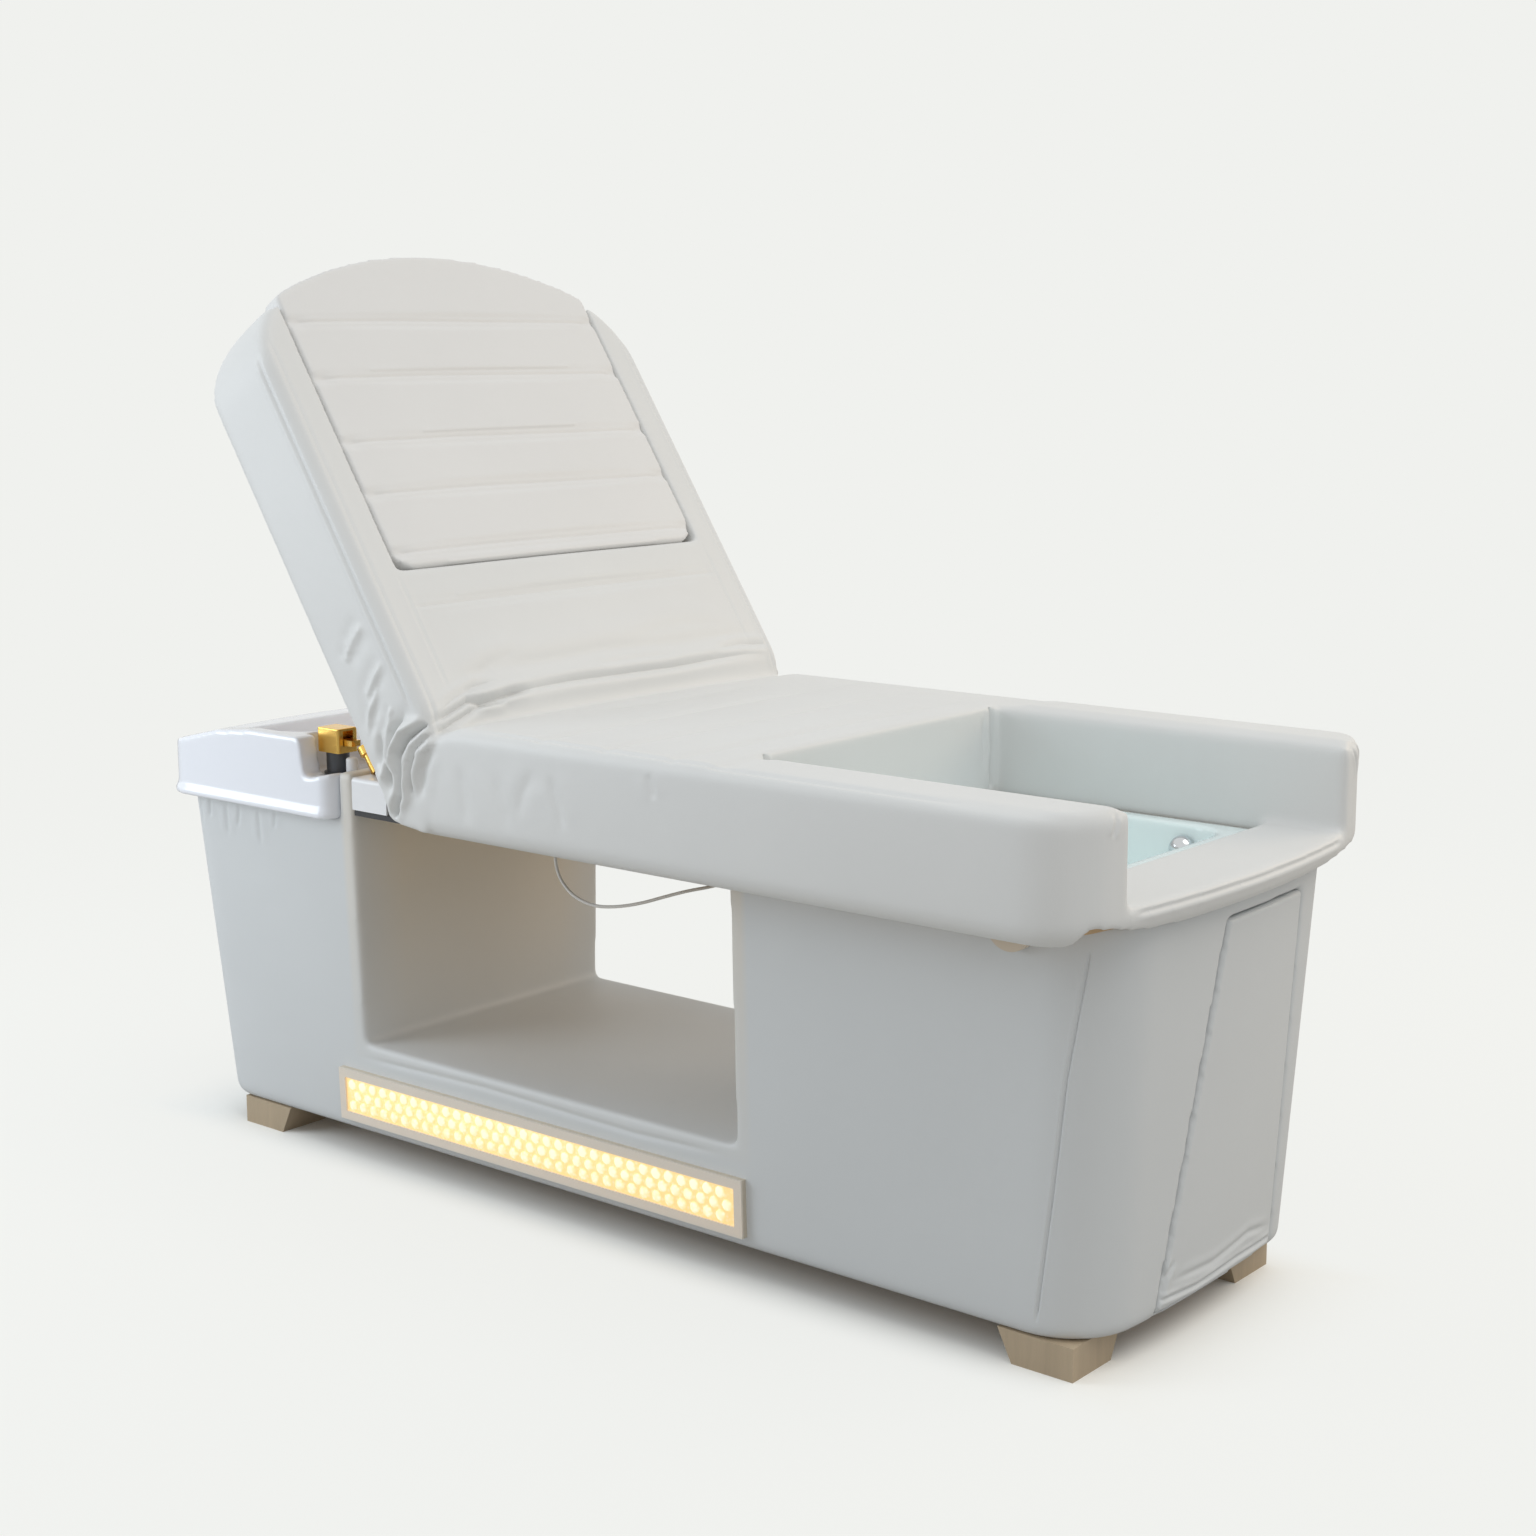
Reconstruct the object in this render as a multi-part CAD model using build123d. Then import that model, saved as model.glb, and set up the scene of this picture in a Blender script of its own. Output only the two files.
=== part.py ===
from build123d import *
import math
import os

os.makedirs("parts", exist_ok=True)

# Common allowances
OVERRUN = 6.0
FACE_GAP = 0.5
SOFT_GAP = 0.4
RUN_GAP = 0.3

# Widths that the rest of the bed follows, from the middle to one side
PAD_HALF_WIDTH = 385.0
PAD_OVERHANG = 108.0
ARM_REST_WIDTH = 108.0
BACK_PROUD = 9.0
BOLSTER_WIDTH = 54.0
BASIN_SIDE_ROOM = 31.0

# Base cabinet, a tapered upholstered box on four legs
BASE_BOTTOM = 45.0
BASE_TOP = 627.0
CARCASS_TOP = 592.0
FLANGE_LEVEL = 553.0
BASE_WALL = 22.0
HEAD_X_LOW = -847.0
HEAD_X_HIGH = -914.0
FOOT_X_LOW = 870.0
FOOT_X_HIGH = 906.0
FOOT_BOW = 16.0
SIDE_TAPER = 19.0
HEAD_CORNER = 75.0
FOOT_CORNER = 105.0
FOOT_FAR_CORNER = 38.0
BOTTOM_ROUND = 18.0
BOARD = 18.0

# Open tunnel through both long sides
TUNNEL_HEAD_X = -470.0
TUNNEL_FOOT_X = 291.0
TUNNEL_WALL = 30.0
SHELF_TOP = 194.0

# Legs
LEG_OUTER_FOOT_X = 832.0
LEG_OUTER_HEAD_X = -788.0
LEG_INSET = 6.0
LEG_LENGTH = 92.0
LEG_WIDTH = 90.0
LEG_FLARE = 22.0

# Service panel in the foot end
PANEL_EDGE_TOP_Y = -14.0
PANEL_EDGE_LOW_Y = -112.0
PANEL_FAR_INSET = 58.0
PANEL_GAP = 1.5
PANEL_FOOT = 52.0
PANEL_HEAD = 560.0
PANEL_REACH = 100.0
CATCH_LENGTH = 34.0
CATCH_SIZE = 24.0
CATCH_INSET = 40.0

# Seat frame
RAIL_WIDTH = 30.0
RAIL_HEIGHT = 30.0
RAIL_WALL = 2.0
RAIL_INSET = 7.0
CROSS_TUBE = 30.0
CROSS_TUBE_X = 215.0

# Seat pad
PAD_TOP = 747.0
PAD_BOTTOM = 583.0
PAD_FOOT_X = 935.0
PAD_BOW = 40.0
PAD_CORNER = 88.0
PAD_TOP_ROUND = 18.0
PAD_LOW_ROUND = 30.0
PAD_CROWN = 5.0
DECK_THICK = 15.0
DECK_INSET = 45.0
DECK_HEAD_X = -176.0
DECK_FOOT_INSET = 30.0
SEAT_CHANNELS = 3
SEAT_CHANNEL_PITCH = 120.0
SEAT_CHANNEL_FIRST_X = 40.0
CHANNEL_RADIUS = 14.0
CHANNEL_DEPTH = 4.0

# Foot recess and foot basin
RECESS_HEAD_X = 346.0
LEDGE_HEAD_X = 791.0
LEDGE_TOP = 625.0
LEDGE_ROUND = 9.0
ARM_ROUND = 12.0
FOOT_RIM_THICK = 8.0
FOOT_RIM_X0 = 350.0
FOOT_RIM_X1 = 789.0
FOOT_RIM_GAP = 3.0
FOOT_BOWL_LIP = 30.0
FOOT_BOWL_TAPER = 26.0
FOOT_BOWL_DEPTH = 175.0
FOOT_BOWL_CORNER = 55.0
FOOT_BOWL_WALL = 6.0
FOOT_HOLE_GAP = 4.0
FOOT_DRAIN_X = 650.0
DRAIN_RADIUS = 22.0
DRAIN_FLANGE = 32.0
DRAIN_FLANGE_THICK = 3.0
DRAIN_WALL = 2.5
DRAIN_DROP = 34.0
PLUG_RADIUS = 15.0
PLUG_STEM = 4.0
PLUG_CAP = 4.0
PIPE_RADIUS = 20.0
PIPE_WALL = 2.5
PIPE_BEND = 34.0
FOOT_PIPE_RUN = 120.0
INLET_X = 690.0
INLET_RADIUS = 19.0
INLET_DROP = 34.0
INLET_DEPTH = 9.0
INLET_SEAT = 3.2

# Head basin
BASIN_HEAD_X = -930.0
BASIN_FOOT_X = -502.0
BASIN_RIM_WIDTH = 28.0
BASIN_BOW = 34.0
BASIN_CORNER = 50.0
BASIN_END_CORNER = 24.0
BASIN_TOP = 677.0
BASIN_HEAD_RIM = 641.0
BASIN_SHOULDER_X = -772.0
BASIN_HEAD_SLOPE_X = -889.0
BASIN_LEVEL_X = -690.0
BASIN_STEP_X = -567.0
BASIN_STEP_RUN = 10.0
BASIN_DECK = 614.0
BASIN_DECK_END = 627.0
LIP_PROUD = 5.0
LIP_HEIGHT = 13.0
LIP_ROUND = 3.6
BOWL_HEAD_X = -908.0
BOWL_FOOT_X = -585.0
BOWL_SIDE_TAPER = 64.0
BOWL_CORNER = 75.0
BOWL_FLOOR = 478.0
BOWL_FLOOR_HEAD_X = -752.0
BOWL_FLOOR_FOOT_X = -622.0
BOWL_FLOOR_CORNER = 60.0
BOWL_WALL = 9.0
NECK_RADIUS = 110.0
NECK_DEPTH = 26.0
NECK_REACH = 24.0
DECK_POCKET_ROOF = 598.0
DECK_POCKET_SIDE = 16.0
HEAD_DRAIN_X = -690.0
TRAP_RADIUS = 34.0
TRAP_HEIGHT = 90.0
TRAP_DROP = 60.0
TRAP_ROUND = 6.8
OUTLET_LENGTH = 130.0

# White box that bridges basin and seat frame
BRIDGE_LENGTH = 78.0
BRIDGE_TOP = 622.0
BRIDGE_SKIRT = 20.0
BRIDGE_ROUND = 6.0
BRIDGE_WALL = 4.0

# Mixer tap, diverter and hand spray on the near side
TAP_INSET = 61.0
MIXER_X = -545.0
MIXER_RADIUS = 18.0
MIXER_BASE_RADIUS = 22.0
MIXER_BASE_HEIGHT = 5.0
MIXER_TOP = 650.0
CAP_LENGTH = 50.0
CAP_WIDTH = 40.0
CAP_BOTTOM = 650.5
CAP_TOP = 689.0
CAP_ROUND = 4.0
LEVER_LENGTH = 26.0
LEVER_WIDTH = 18.0
LEVER_THICK = 9.0
LEVER_LEVEL = 667.0
LEVER_SLOT_GAP = 1.2
LEVER_PIVOT_INSET = 7.0
LEVER_PIN_RADIUS = 2.5
LEVER_PIN_GAP = 0.3
KNOB_X = -512.0
KNOB_RADIUS = 9.5
KNOB_HEIGHT = 30.0
KNOB_STEM_RADIUS = 4.0
KNOB_LIFT = 3.0
SPRAY_X = -455.0
SPRAY_TILT = 36.0
SPRAY_RADIUS = 8.0
SPRAY_LENGTH = 46.0
SPRAY_HEAD_RADIUS = 12.0
SPRAY_HEAD_LENGTH = 14.0
HOLDER_LENGTH = 26.0
HOLDER_WIDTH = 30.0
HOLDER_HEIGHT = 10.0
HOLDER_GAP = 0.4

# Light panel on the near side
LED_X0 = -526.0
LED_X1 = 308.0
LED_Z0 = 66.0
LED_Z1 = 150.0
LED_DEPTH = 8.0
LED_BACK = 1.5
LED_RIM = 2.0
LED_BEZEL_WIDTH = 14.0
LED_BEZEL_THICK = 3.0
LED_STRIP_THICK = 1.6
LED_STRIP_WIDTH = 10.0
LED_STRIP_ROWS = 3
LED_STRIP_INSET = 30.0
DIFFUSER_THICK = 4.0
BEAD_RADIUS = 9.0
BEAD_HEIGHT = 1.4
BEAD_COLUMNS = 34
BEAD_ROWS = 3

# Half round tabs under the arm rests
TAB_X = 752.0
TAB_RADIUS = 34.0
TAB_THICK = 14.0

# Backrest hinge
PIVOT_X = -218.5
PIVOT_Z = 627.0
RECLINE = 57.2
HINGE_PIN_RADIUS = 6.0
HINGE_BOSS = 16.0
HINGE_WEB = 12.0
HINGE_PLATE = 6.0
HINGE_PLATE_GAP = 1.0
HINGE_FIT = 0.15
HINGE_HEAD_RADIUS = 10.0
HINGE_HEAD = 4.0
BRACKET_FOOT = 60.0

# Backrest, measured from its pivot: along the back and up from it
BACK_TOP_RADIUS = 767.0
BACK_LENGTH = 859.0
BACK_CORNER = 150.0
BACK_FACE = PAD_TOP - PIVOT_Z
BACK_CROWN = 4.0
BACK_TOP_ROUND = 18.0
BOLSTER_DEPTH = 152.0
BOLSTER_TIP = 766.0
BOLSTER_TIP_RISE = 70.0
BOLSTER_TIP_RUN = 90.0
BOLSTER_HEEL = 12.0
BOLSTER_HEEL_DROP = 22.0
BOLSTER_HEEL_RUN = 10.0
SIDE_BOARD_THICK = 12.0
SIDE_BOARD_LOW = -22.0
SIDE_BOARD_END = 690.0
SIDE_BOARD_START = 52.0
BACK_BOARD_LEVEL = 68.0
BACK_BOARD_THICK = 12.0
INSERT_START = 316.0
TUBE_SIDE = 20.0
LOW_TUBE_START = 50.0
HIGH_TUBE_START = 180.0
BACK_CHANNEL_AT = 253.0
INSERT_CHANNEL_SHARES = (0.0460, 0.2284, 0.3904, 0.5930, 0.7753)

# Lift-out insert
INSERT_GAP = 1.5
INSERT_CORNER = 38.0
INSERT_BOARD_THICK = 12.0
INSERT_BOARD_INSET = 10.0
SUPPORT_WIDTH = 24.0
SUPPORT_THICK = 12.0

# Linear actuator under the seat
ARM_PLATE = 6.0
ARM_PLATE_INNER = 10.0
ARM_WIDTH = 28.0
LEVER_RADIUS = 90.0
CROSS_PIN_RADIUS = 6.0
SLOT_CLEARANCE = 2.0
ROD_RADIUS = 10.0
ROD_EYE_RADIUS = 14.0
ROD_EYE_WIDTH = 16.0
ROD_LENGTH = 205.0
ROD_FIT = 0.2
HOUSING_RADIUS = 24.0
HOUSING_X0 = -125.0
HOUSING_X1 = 178.0
HOUSING_BORE_END = 42.0
MOTOR_RADIUS = 24.0
MOTOR_LENGTH = 110.0
MOTOR_DROP = 45.0
GEARCASE_BELOW_MOTOR = 27.0
GEARCASE_ABOVE_TUBE = 3.0
GEARCASE_LENGTH = 46.0
GEARCASE_WIDTH = 56.0
LUG_LENGTH = 26.0
LUG_WIDTH = 16.0
LUG_PIN_RADIUS = 5.0
EAR_THICK = 6.0
SADDLE_WIDTH = 24.0
SADDLE_WALL = 5.0
SADDLE_X = -60.0

# Control box and its looped lead
CONTROL_LENGTH = 120.0
CONTROL_WIDTH = 84.0
CONTROL_HEIGHT = 32.0
CONTROL_INSET = 120.0
CONTROL_X0 = -174.0
CONTROL_ROUND = 5.0
GLAND_RADIUS = 5.0
GLAND_LENGTH = 8.0
CABLE_RADIUS = 2.5
CORNER_SHARE = 0.45
GLAND_ONE_X = -159.0
MOTOR_GLAND_X = 93.0
MOTOR_GLAND_Z = 497.0
MOTOR_GLAND_Y = -38.0

# Places worked out from the sizes above
HALF_WIDTH_HIGH = PAD_HALF_WIDTH - PAD_OVERHANG
HALF_WIDTH_LOW = HALF_WIDTH_HIGH - SIDE_TAPER
LEG_OUTER_Y = HALF_WIDTH_LOW - LEG_INSET
PANEL_FAR_Y = HALF_WIDTH_LOW - PANEL_FAR_INSET
RAIL_OUTER_Y = HALF_WIDTH_HIGH - RAIL_INSET
DECK_HALF_WIDTH = PAD_HALF_WIDTH - DECK_INSET
ARM_INNER_Y = PAD_HALF_WIDTH - ARM_REST_WIDTH
FOOT_RIM_Y = ARM_INNER_Y - FOOT_RIM_GAP
BACK_HALF_WIDTH = PAD_HALF_WIDTH + BACK_PROUD
SIDE_BOARD_INNER = BACK_HALF_WIDTH - BOLSTER_WIDTH - SIDE_BOARD_THICK
INSERT_HALF_WIDTH = SIDE_BOARD_INNER - INSERT_GAP
BASIN_HALF_WIDTH = SIDE_BOARD_INNER - BASIN_SIDE_ROOM
BOWL_HALF_WIDTH = BASIN_HALF_WIDTH - BASIN_RIM_WIDTH
BOWL_FLOOR_HALF_WIDTH = BOWL_HALF_WIDTH - BOWL_SIDE_TAPER
TAP_Y = TAP_INSET - BASIN_HALF_WIDTH
CONTROL_Y = CONTROL_INSET - RAIL_OUTER_Y
SLOPE = (HALF_WIDTH_HIGH - HALF_WIDTH_LOW) / (BASE_TOP - BASE_BOTTOM)
SIDE_TILT = math.degrees(math.atan(SLOPE))
DECK_TOP = CARCASS_TOP + DECK_THICK
HALF_SWING = RECLINE / 2
BACK_LEAN = math.tan(math.radians(HALF_SWING))
LEVER_DROP = LEVER_RADIUS * math.cos(math.radians(HALF_SWING))
LEVER_THROW = LEVER_RADIUS * math.sin(math.radians(HALF_SWING))
ACTUATOR_Z = PIVOT_Z - LEVER_DROP
FOOT_BOWL_FLOOR = DECK_TOP + FOOT_RIM_THICK - FOOT_BOWL_DEPTH
CONTROL_BOTTOM = CARCASS_TOP - CONTROL_HEIGHT
BACK_BOARD_TOP = BACK_BOARD_LEVEL + BACK_BOARD_THICK
RAIL_BOTTOM = CARCASS_TOP - RAIL_HEIGHT


def block(x0, x1, y0, y1, z0, z1):
    """A box given by its lowest and highest corners."""
    centre = Pos((x0 + x1) / 2, (y0 + y1) / 2, (z0 + z1) / 2)
    return centre * Box(x1 - x0, y1 - y0, z1 - z0)


def rod_y(radius, y0, y1, x, z):
    """A round bar along Y."""
    return Pos(x, (y0 + y1) / 2, z) * Rot(90, 0, 0) * Cylinder(radius, y1 - y0)


def rod_x(radius, x0, x1, y, z):
    """A round bar along X."""
    return Pos((x0 + x1) / 2, y, z) * Rot(0, 90, 0) * Cylinder(radius, x1 - x0)


def rod_z(radius, z0, z1, x, y):
    """A round bar along Z."""
    return Pos(x, y, (z0 + z1) / 2) * Cylinder(radius, z1 - z0)


def both_sides(shape):
    """A shape and its mirror image on the far side."""
    return Compound([shape, mirror(shape, about=Plane.XZ)])


def save(shape, node):
    """Write one node."""
    export_step(shape, "parts/" + node + ".step")


def bowed_plan(head_x, foot_x, half_width, head_corner, foot_corner, far_corner, bow):
    """A rounded plan outline whose foot end is bowed outwards."""
    corner_x = foot_x - bow
    sides = Polyline(
        (corner_x, half_width), (head_x, half_width), (head_x, -half_width), (corner_x, -half_width)
    )
    end = ThreePointArc((corner_x, -half_width), (foot_x, 0), (corner_x, half_width))
    face = make_face(sides + end)
    face = fillet(face.vertices().group_by(Axis.X)[0], head_corner)
    face = fillet(face.vertices().group_by(Axis.X)[-1].sort_by(Axis.Y)[0], foot_corner)
    far_foot = face.vertices().sort_by_distance((corner_x, half_width, 0))[0]
    return fillet(far_foot, far_corner)


def base_form(inset):
    """The tapered form of the cabinet, drawn in by an inset."""
    low = bowed_plan(
        HEAD_X_LOW + inset,
        FOOT_X_LOW - inset,
        HALF_WIDTH_LOW - inset,
        HEAD_CORNER - inset,
        FOOT_CORNER - inset,
        FOOT_FAR_CORNER - inset,
        FOOT_BOW,
    )
    high = bowed_plan(
        HEAD_X_HIGH + inset,
        FOOT_X_HIGH - inset,
        HALF_WIDTH_HIGH - inset,
        HEAD_CORNER - inset,
        FOOT_CORNER - inset,
        FOOT_FAR_CORNER - inset,
        FOOT_BOW,
    )
    return loft([Pos(0, 0, BASE_BOTTOM) * low, Pos(0, 0, BASE_TOP) * high], ruled=True)


def half_width_at(z):
    """Half the width of the cabinet at a height."""
    return HALF_WIDTH_LOW + SLOPE * (z - BASE_BOTTOM)


def wide(x0, x1, z0, z1):
    """A block across the whole width of the object."""
    return block(x0, x1, -BACK_HALF_WIDTH, BACK_HALF_WIDTH, z0, z1)


def panel_prism(gap):
    """The slanted region of the foot end that the service panel fills."""
    near_low = PANEL_EDGE_LOW_Y + gap
    near_top = PANEL_EDGE_TOP_Y + gap
    far = PANEL_FAR_Y - gap
    low = PANEL_FOOT + gap
    top = PANEL_HEAD - gap
    outline = Polyline((near_low, low), (far, low), (far, top), (near_top, top), close=True)
    face = Plane.YZ * make_face(outline)
    start = FOOT_X_LOW - PANEL_REACH
    return extrude(Pos(start, 0, 0) * face, FOOT_X_HIGH - start + OVERRUN)


def build_base():
    """Cabinet walls, boards, legs and the service panel."""
    outer = base_form(0)
    low_edges = outer.edges().group_by(Axis.Z)[0]
    outer = fillet(low_edges, BOTTOM_ROUND)
    inner = base_form(BASE_WALL)
    shell = outer - inner
    board_top = BASE_BOTTOM + BOARD
    head_wall_x = TUNNEL_HEAD_X - TUNNEL_WALL
    foot_wall_x = TUNNEL_FOOT_X + TUNNEL_WALL
    save(inner & wide(HEAD_X_HIGH, FOOT_X_HIGH, BASE_BOTTOM, board_top), "bottom_board")
    save(shell & wide(HEAD_X_HIGH, head_wall_x, BASE_BOTTOM, FLANGE_LEVEL), "head_cabinet")
    foot = shell & wide(foot_wall_x, FOOT_X_HIGH, BASE_BOTTOM, CARCASS_TOP)
    save(foot - panel_prism(0), "foot_cabinet")
    save(shell & panel_prism(PANEL_GAP), "service_panel")

    head_wall = outer & wide(head_wall_x, TUNNEL_HEAD_X, board_top, BASE_TOP)
    head_trim = shell & wide(head_wall_x, TUNNEL_HEAD_X, BASE_BOTTOM, board_top)
    save(head_wall + head_trim, "cubby_head_wall")
    foot_wall = outer & wide(TUNNEL_FOOT_X, foot_wall_x, board_top, CARCASS_TOP)
    foot_trim = shell & wide(TUNNEL_FOOT_X, foot_wall_x, BASE_BOTTOM, board_top)
    save(foot_wall + foot_trim, "cubby_foot_wall")
    shelf_bottom = SHELF_TOP - BOARD
    save(outer & wide(TUNNEL_HEAD_X, TUNNEL_FOOT_X, shelf_bottom, SHELF_TOP), "cubby_shelf")
    sill = shell & wide(TUNNEL_HEAD_X, TUNNEL_FOOT_X, BASE_BOTTOM, shelf_bottom)
    near_half = block(HEAD_X_HIGH, FOOT_X_HIGH, -BACK_HALF_WIDTH, 0, 0, BASE_TOP)
    save(sill & near_half, "near_sill")
    save(sill - near_half, "far_sill")

    room = base_form(BASE_WALL + RUN_GAP)
    near_y = PANEL_EDGE_LOW_Y + CATCH_INSET + CATCH_SIZE
    far_y = PANEL_FAR_Y - CATCH_INSET
    save(Compound([catch_block(near_y) & room, catch_block(far_y) & room]), "panel_catches")


def catch_block(y):
    """A magnet block that stands on the bottom board, before it is cut to the panel's inner face."""
    x0 = FOOT_X_LOW - BASE_WALL - CATCH_LENGTH
    z0 = BASE_BOTTOM + BOARD
    return block(x0, FOOT_X_LOW, y - CATCH_SIZE / 2, y + CATCH_SIZE / 2, z0, z0 + CATCH_SIZE)


def build_leg(outer_x, outer_y, node):
    """A leg with two upright outer faces and two inner faces that flare upwards."""
    side_x = math.copysign(1, outer_x)
    side_y = math.copysign(1, outer_y)
    foot = Rectangle(LEG_LENGTH, LEG_WIDTH)
    head = Rectangle(LEG_LENGTH + LEG_FLARE, LEG_WIDTH + LEG_FLARE)
    foot_at = Pos(outer_x - side_x * LEG_LENGTH / 2, outer_y - side_y * LEG_WIDTH / 2, 0)
    head_at = Pos(
        outer_x - side_x * (LEG_LENGTH + LEG_FLARE) / 2,
        outer_y - side_y * (LEG_WIDTH + LEG_FLARE) / 2,
        BASE_BOTTOM,
    )
    save(loft([foot_at * foot, head_at * head], ruled=True), node)


def build_legs():
    """Four legs under the corners."""
    build_leg(LEG_OUTER_HEAD_X, -LEG_OUTER_Y, "leg_near_head")
    build_leg(LEG_OUTER_HEAD_X, LEG_OUTER_Y, "leg_far_head")
    build_leg(LEG_OUTER_FOOT_X, -LEG_OUTER_Y, "leg_near_foot")
    build_leg(LEG_OUTER_FOOT_X, LEG_OUTER_Y, "leg_far_foot")


def rail(y):
    """A rectangular tube along the tunnel's head."""
    inner_y = y - RAIL_WIDTH
    tube = block(TUNNEL_HEAD_X, TUNNEL_FOOT_X, inner_y, y, RAIL_BOTTOM, CARCASS_TOP)
    hollow = block(
        TUNNEL_HEAD_X - OVERRUN,
        TUNNEL_FOOT_X + OVERRUN,
        inner_y + RAIL_WALL,
        y - RAIL_WALL,
        RAIL_BOTTOM + RAIL_WALL,
        CARCASS_TOP - RAIL_WALL,
    )
    return tube - hollow


def hinge_bracket():
    """The fixed hinge plate on the far rail."""
    y0 = RAIL_OUTER_Y
    y1 = y0 + HINGE_PLATE
    plate = block(
        PIVOT_X - BRACKET_FOOT / 2, PIVOT_X + BRACKET_FOOT / 2, y0, y1, RAIL_BOTTOM, CARCASS_TOP
    )
    neck = block(PIVOT_X - HINGE_BOSS, PIVOT_X + HINGE_BOSS, y0, y1, CARCASS_TOP, PIVOT_Z)
    boss = rod_y(HINGE_BOSS, y0, y1, PIVOT_X, PIVOT_Z)
    return plate + neck + boss - rod_y(HINGE_PIN_RADIUS, y0 - OVERRUN, y1 + OVERRUN, PIVOT_X, PIVOT_Z)


def hinge_pin():
    """A headed pin through the far bracket and the backrest's arm."""
    y0 = RAIL_OUTER_Y
    arm_outer = y0 + 2 * HINGE_PLATE + HINGE_PLATE_GAP
    head_y = arm_outer + RUN_GAP
    pin = rod_y(HINGE_PIN_RADIUS, y0 - HINGE_HEAD, head_y, PIVOT_X, PIVOT_Z)
    head = rod_y(HINGE_HEAD_RADIUS, head_y, head_y + HINGE_HEAD, PIVOT_X, PIVOT_Z)
    return pin + head


def build_seat_frame():
    """Two rails, the actuator's cross tube, hinge brackets and hinge pins."""
    far = rail(RAIL_OUTER_Y)
    inner_y = RAIL_OUTER_Y - RAIL_WIDTH
    x0 = CROSS_TUBE_X
    x1 = x0 + CROSS_TUBE
    tube = block(x0, x1, -inner_y, inner_y, CARCASS_TOP - CROSS_TUBE, CARCASS_TOP)
    hollow = block(
        x0 + RAIL_WALL,
        x1 - RAIL_WALL,
        -inner_y - OVERRUN,
        inner_y + OVERRUN,
        CARCASS_TOP - CROSS_TUBE + RAIL_WALL,
        CARCASS_TOP - RAIL_WALL,
    )
    save(Compound([far, mirror(far, about=Plane.XZ), tube - hollow]), "seat_frame_tubes")
    save(both_sides(hinge_bracket()), "hinge_brackets")
    save(both_sides(hinge_pin()), "hinge_pins")


def seat_lean(gap):
    """Everything on the seat's side of the plane where seat and back meet."""
    rise = PAD_TOP - PIVOT_Z + OVERRUN
    x0 = PIVOT_X + gap / math.cos(math.radians(HALF_SWING))
    far_x = PAD_FOOT_X + OVERRUN
    outline = Polyline(
        (x0, PAD_BOTTOM - OVERRUN),
        (far_x, PAD_BOTTOM - OVERRUN),
        (far_x, PIVOT_Z + rise),
        (x0 + rise * BACK_LEAN, PIVOT_Z + rise),
        (x0, PIVOT_Z),
        close=True,
    )
    face = Plane.XZ * make_face(outline)
    half = PAD_HALF_WIDTH + OVERRUN
    return extrude(face, half, both=True)


def crowned_block(x0, x1, half_width, base, top, crown):
    """A long block whose top is crowned across its width."""
    edge = top - crown
    rim = Polyline((-half_width, edge), (-half_width, base), (half_width, base), (half_width, edge))
    arc = ThreePointArc((half_width, edge), (0, top), (-half_width, edge))
    face = Plane.YZ * make_face(rim + arc)
    return extrude(Pos(x0, 0, 0) * face, x1 - x0)


def pad_form():
    """The whole upholstered pad with rounded edges, before it is divided."""
    plan = bowed_plan(PIVOT_X, PAD_FOOT_X, PAD_HALF_WIDTH, PAD_TOP_ROUND, PAD_CORNER, PAD_CORNER, PAD_BOW)
    form = extrude(Pos(0, 0, PAD_BOTTOM) * plan, PAD_TOP - PAD_BOTTOM)
    form = fillet(form.edges().group_by(Axis.Z)[-1], PAD_TOP_ROUND)
    form = fillet(form.edges().group_by(Axis.Z)[0], PAD_LOW_ROUND)
    crowned = crowned_block(
        PIVOT_X - OVERRUN, PAD_FOOT_X + OVERRUN, PAD_HALF_WIDTH + OVERRUN, PAD_BOTTOM, PAD_TOP, PAD_CROWN
    )
    deck_x1 = PAD_FOOT_X - DECK_FOOT_INSET + FACE_GAP
    deck_y = DECK_HALF_WIDTH + FACE_GAP
    pocket = block(PIVOT_X - OVERRUN, deck_x1, -deck_y, deck_y, PAD_BOTTOM - OVERRUN, DECK_TOP)
    return (form & crowned) - pocket


def seat_channels():
    """Shallow sewn channels across the seat."""
    cuts = []
    for index in range(SEAT_CHANNELS):
        x = SEAT_CHANNEL_FIRST_X + index * SEAT_CHANNEL_PITCH
        z = PAD_TOP + CHANNEL_RADIUS - CHANNEL_DEPTH
        cuts.append(rod_y(CHANNEL_RADIUS, -PAD_HALF_WIDTH, PAD_HALF_WIDTH, x, z))
    return cuts


def hinge_room():
    """Room in the seat foam for the hinge plates and the drive arms."""
    x0 = PIVOT_X - OVERRUN
    x1 = DECK_HEAD_X + FACE_GAP
    reach = ARM_WIDTH / 2 / math.sin(math.radians(HALF_SWING / 2))
    roof = PIVOT_Z + reach
    plates = block(
        x0,
        x1,
        RAIL_OUTER_Y - OVERRUN,
        RAIL_OUTER_Y + 2 * HINGE_PLATE + HINGE_PLATE_GAP + HINGE_HEAD + OVERRUN,
        PAD_BOTTOM - OVERRUN,
        roof,
    )
    arm_y = ARM_PLATE_INNER + ARM_PLATE + OVERRUN
    arms = block(x0, x1, -arm_y, arm_y, PAD_BOTTOM - OVERRUN, roof)
    return [plates, mirror(plates, about=Plane.XZ), arms]


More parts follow.
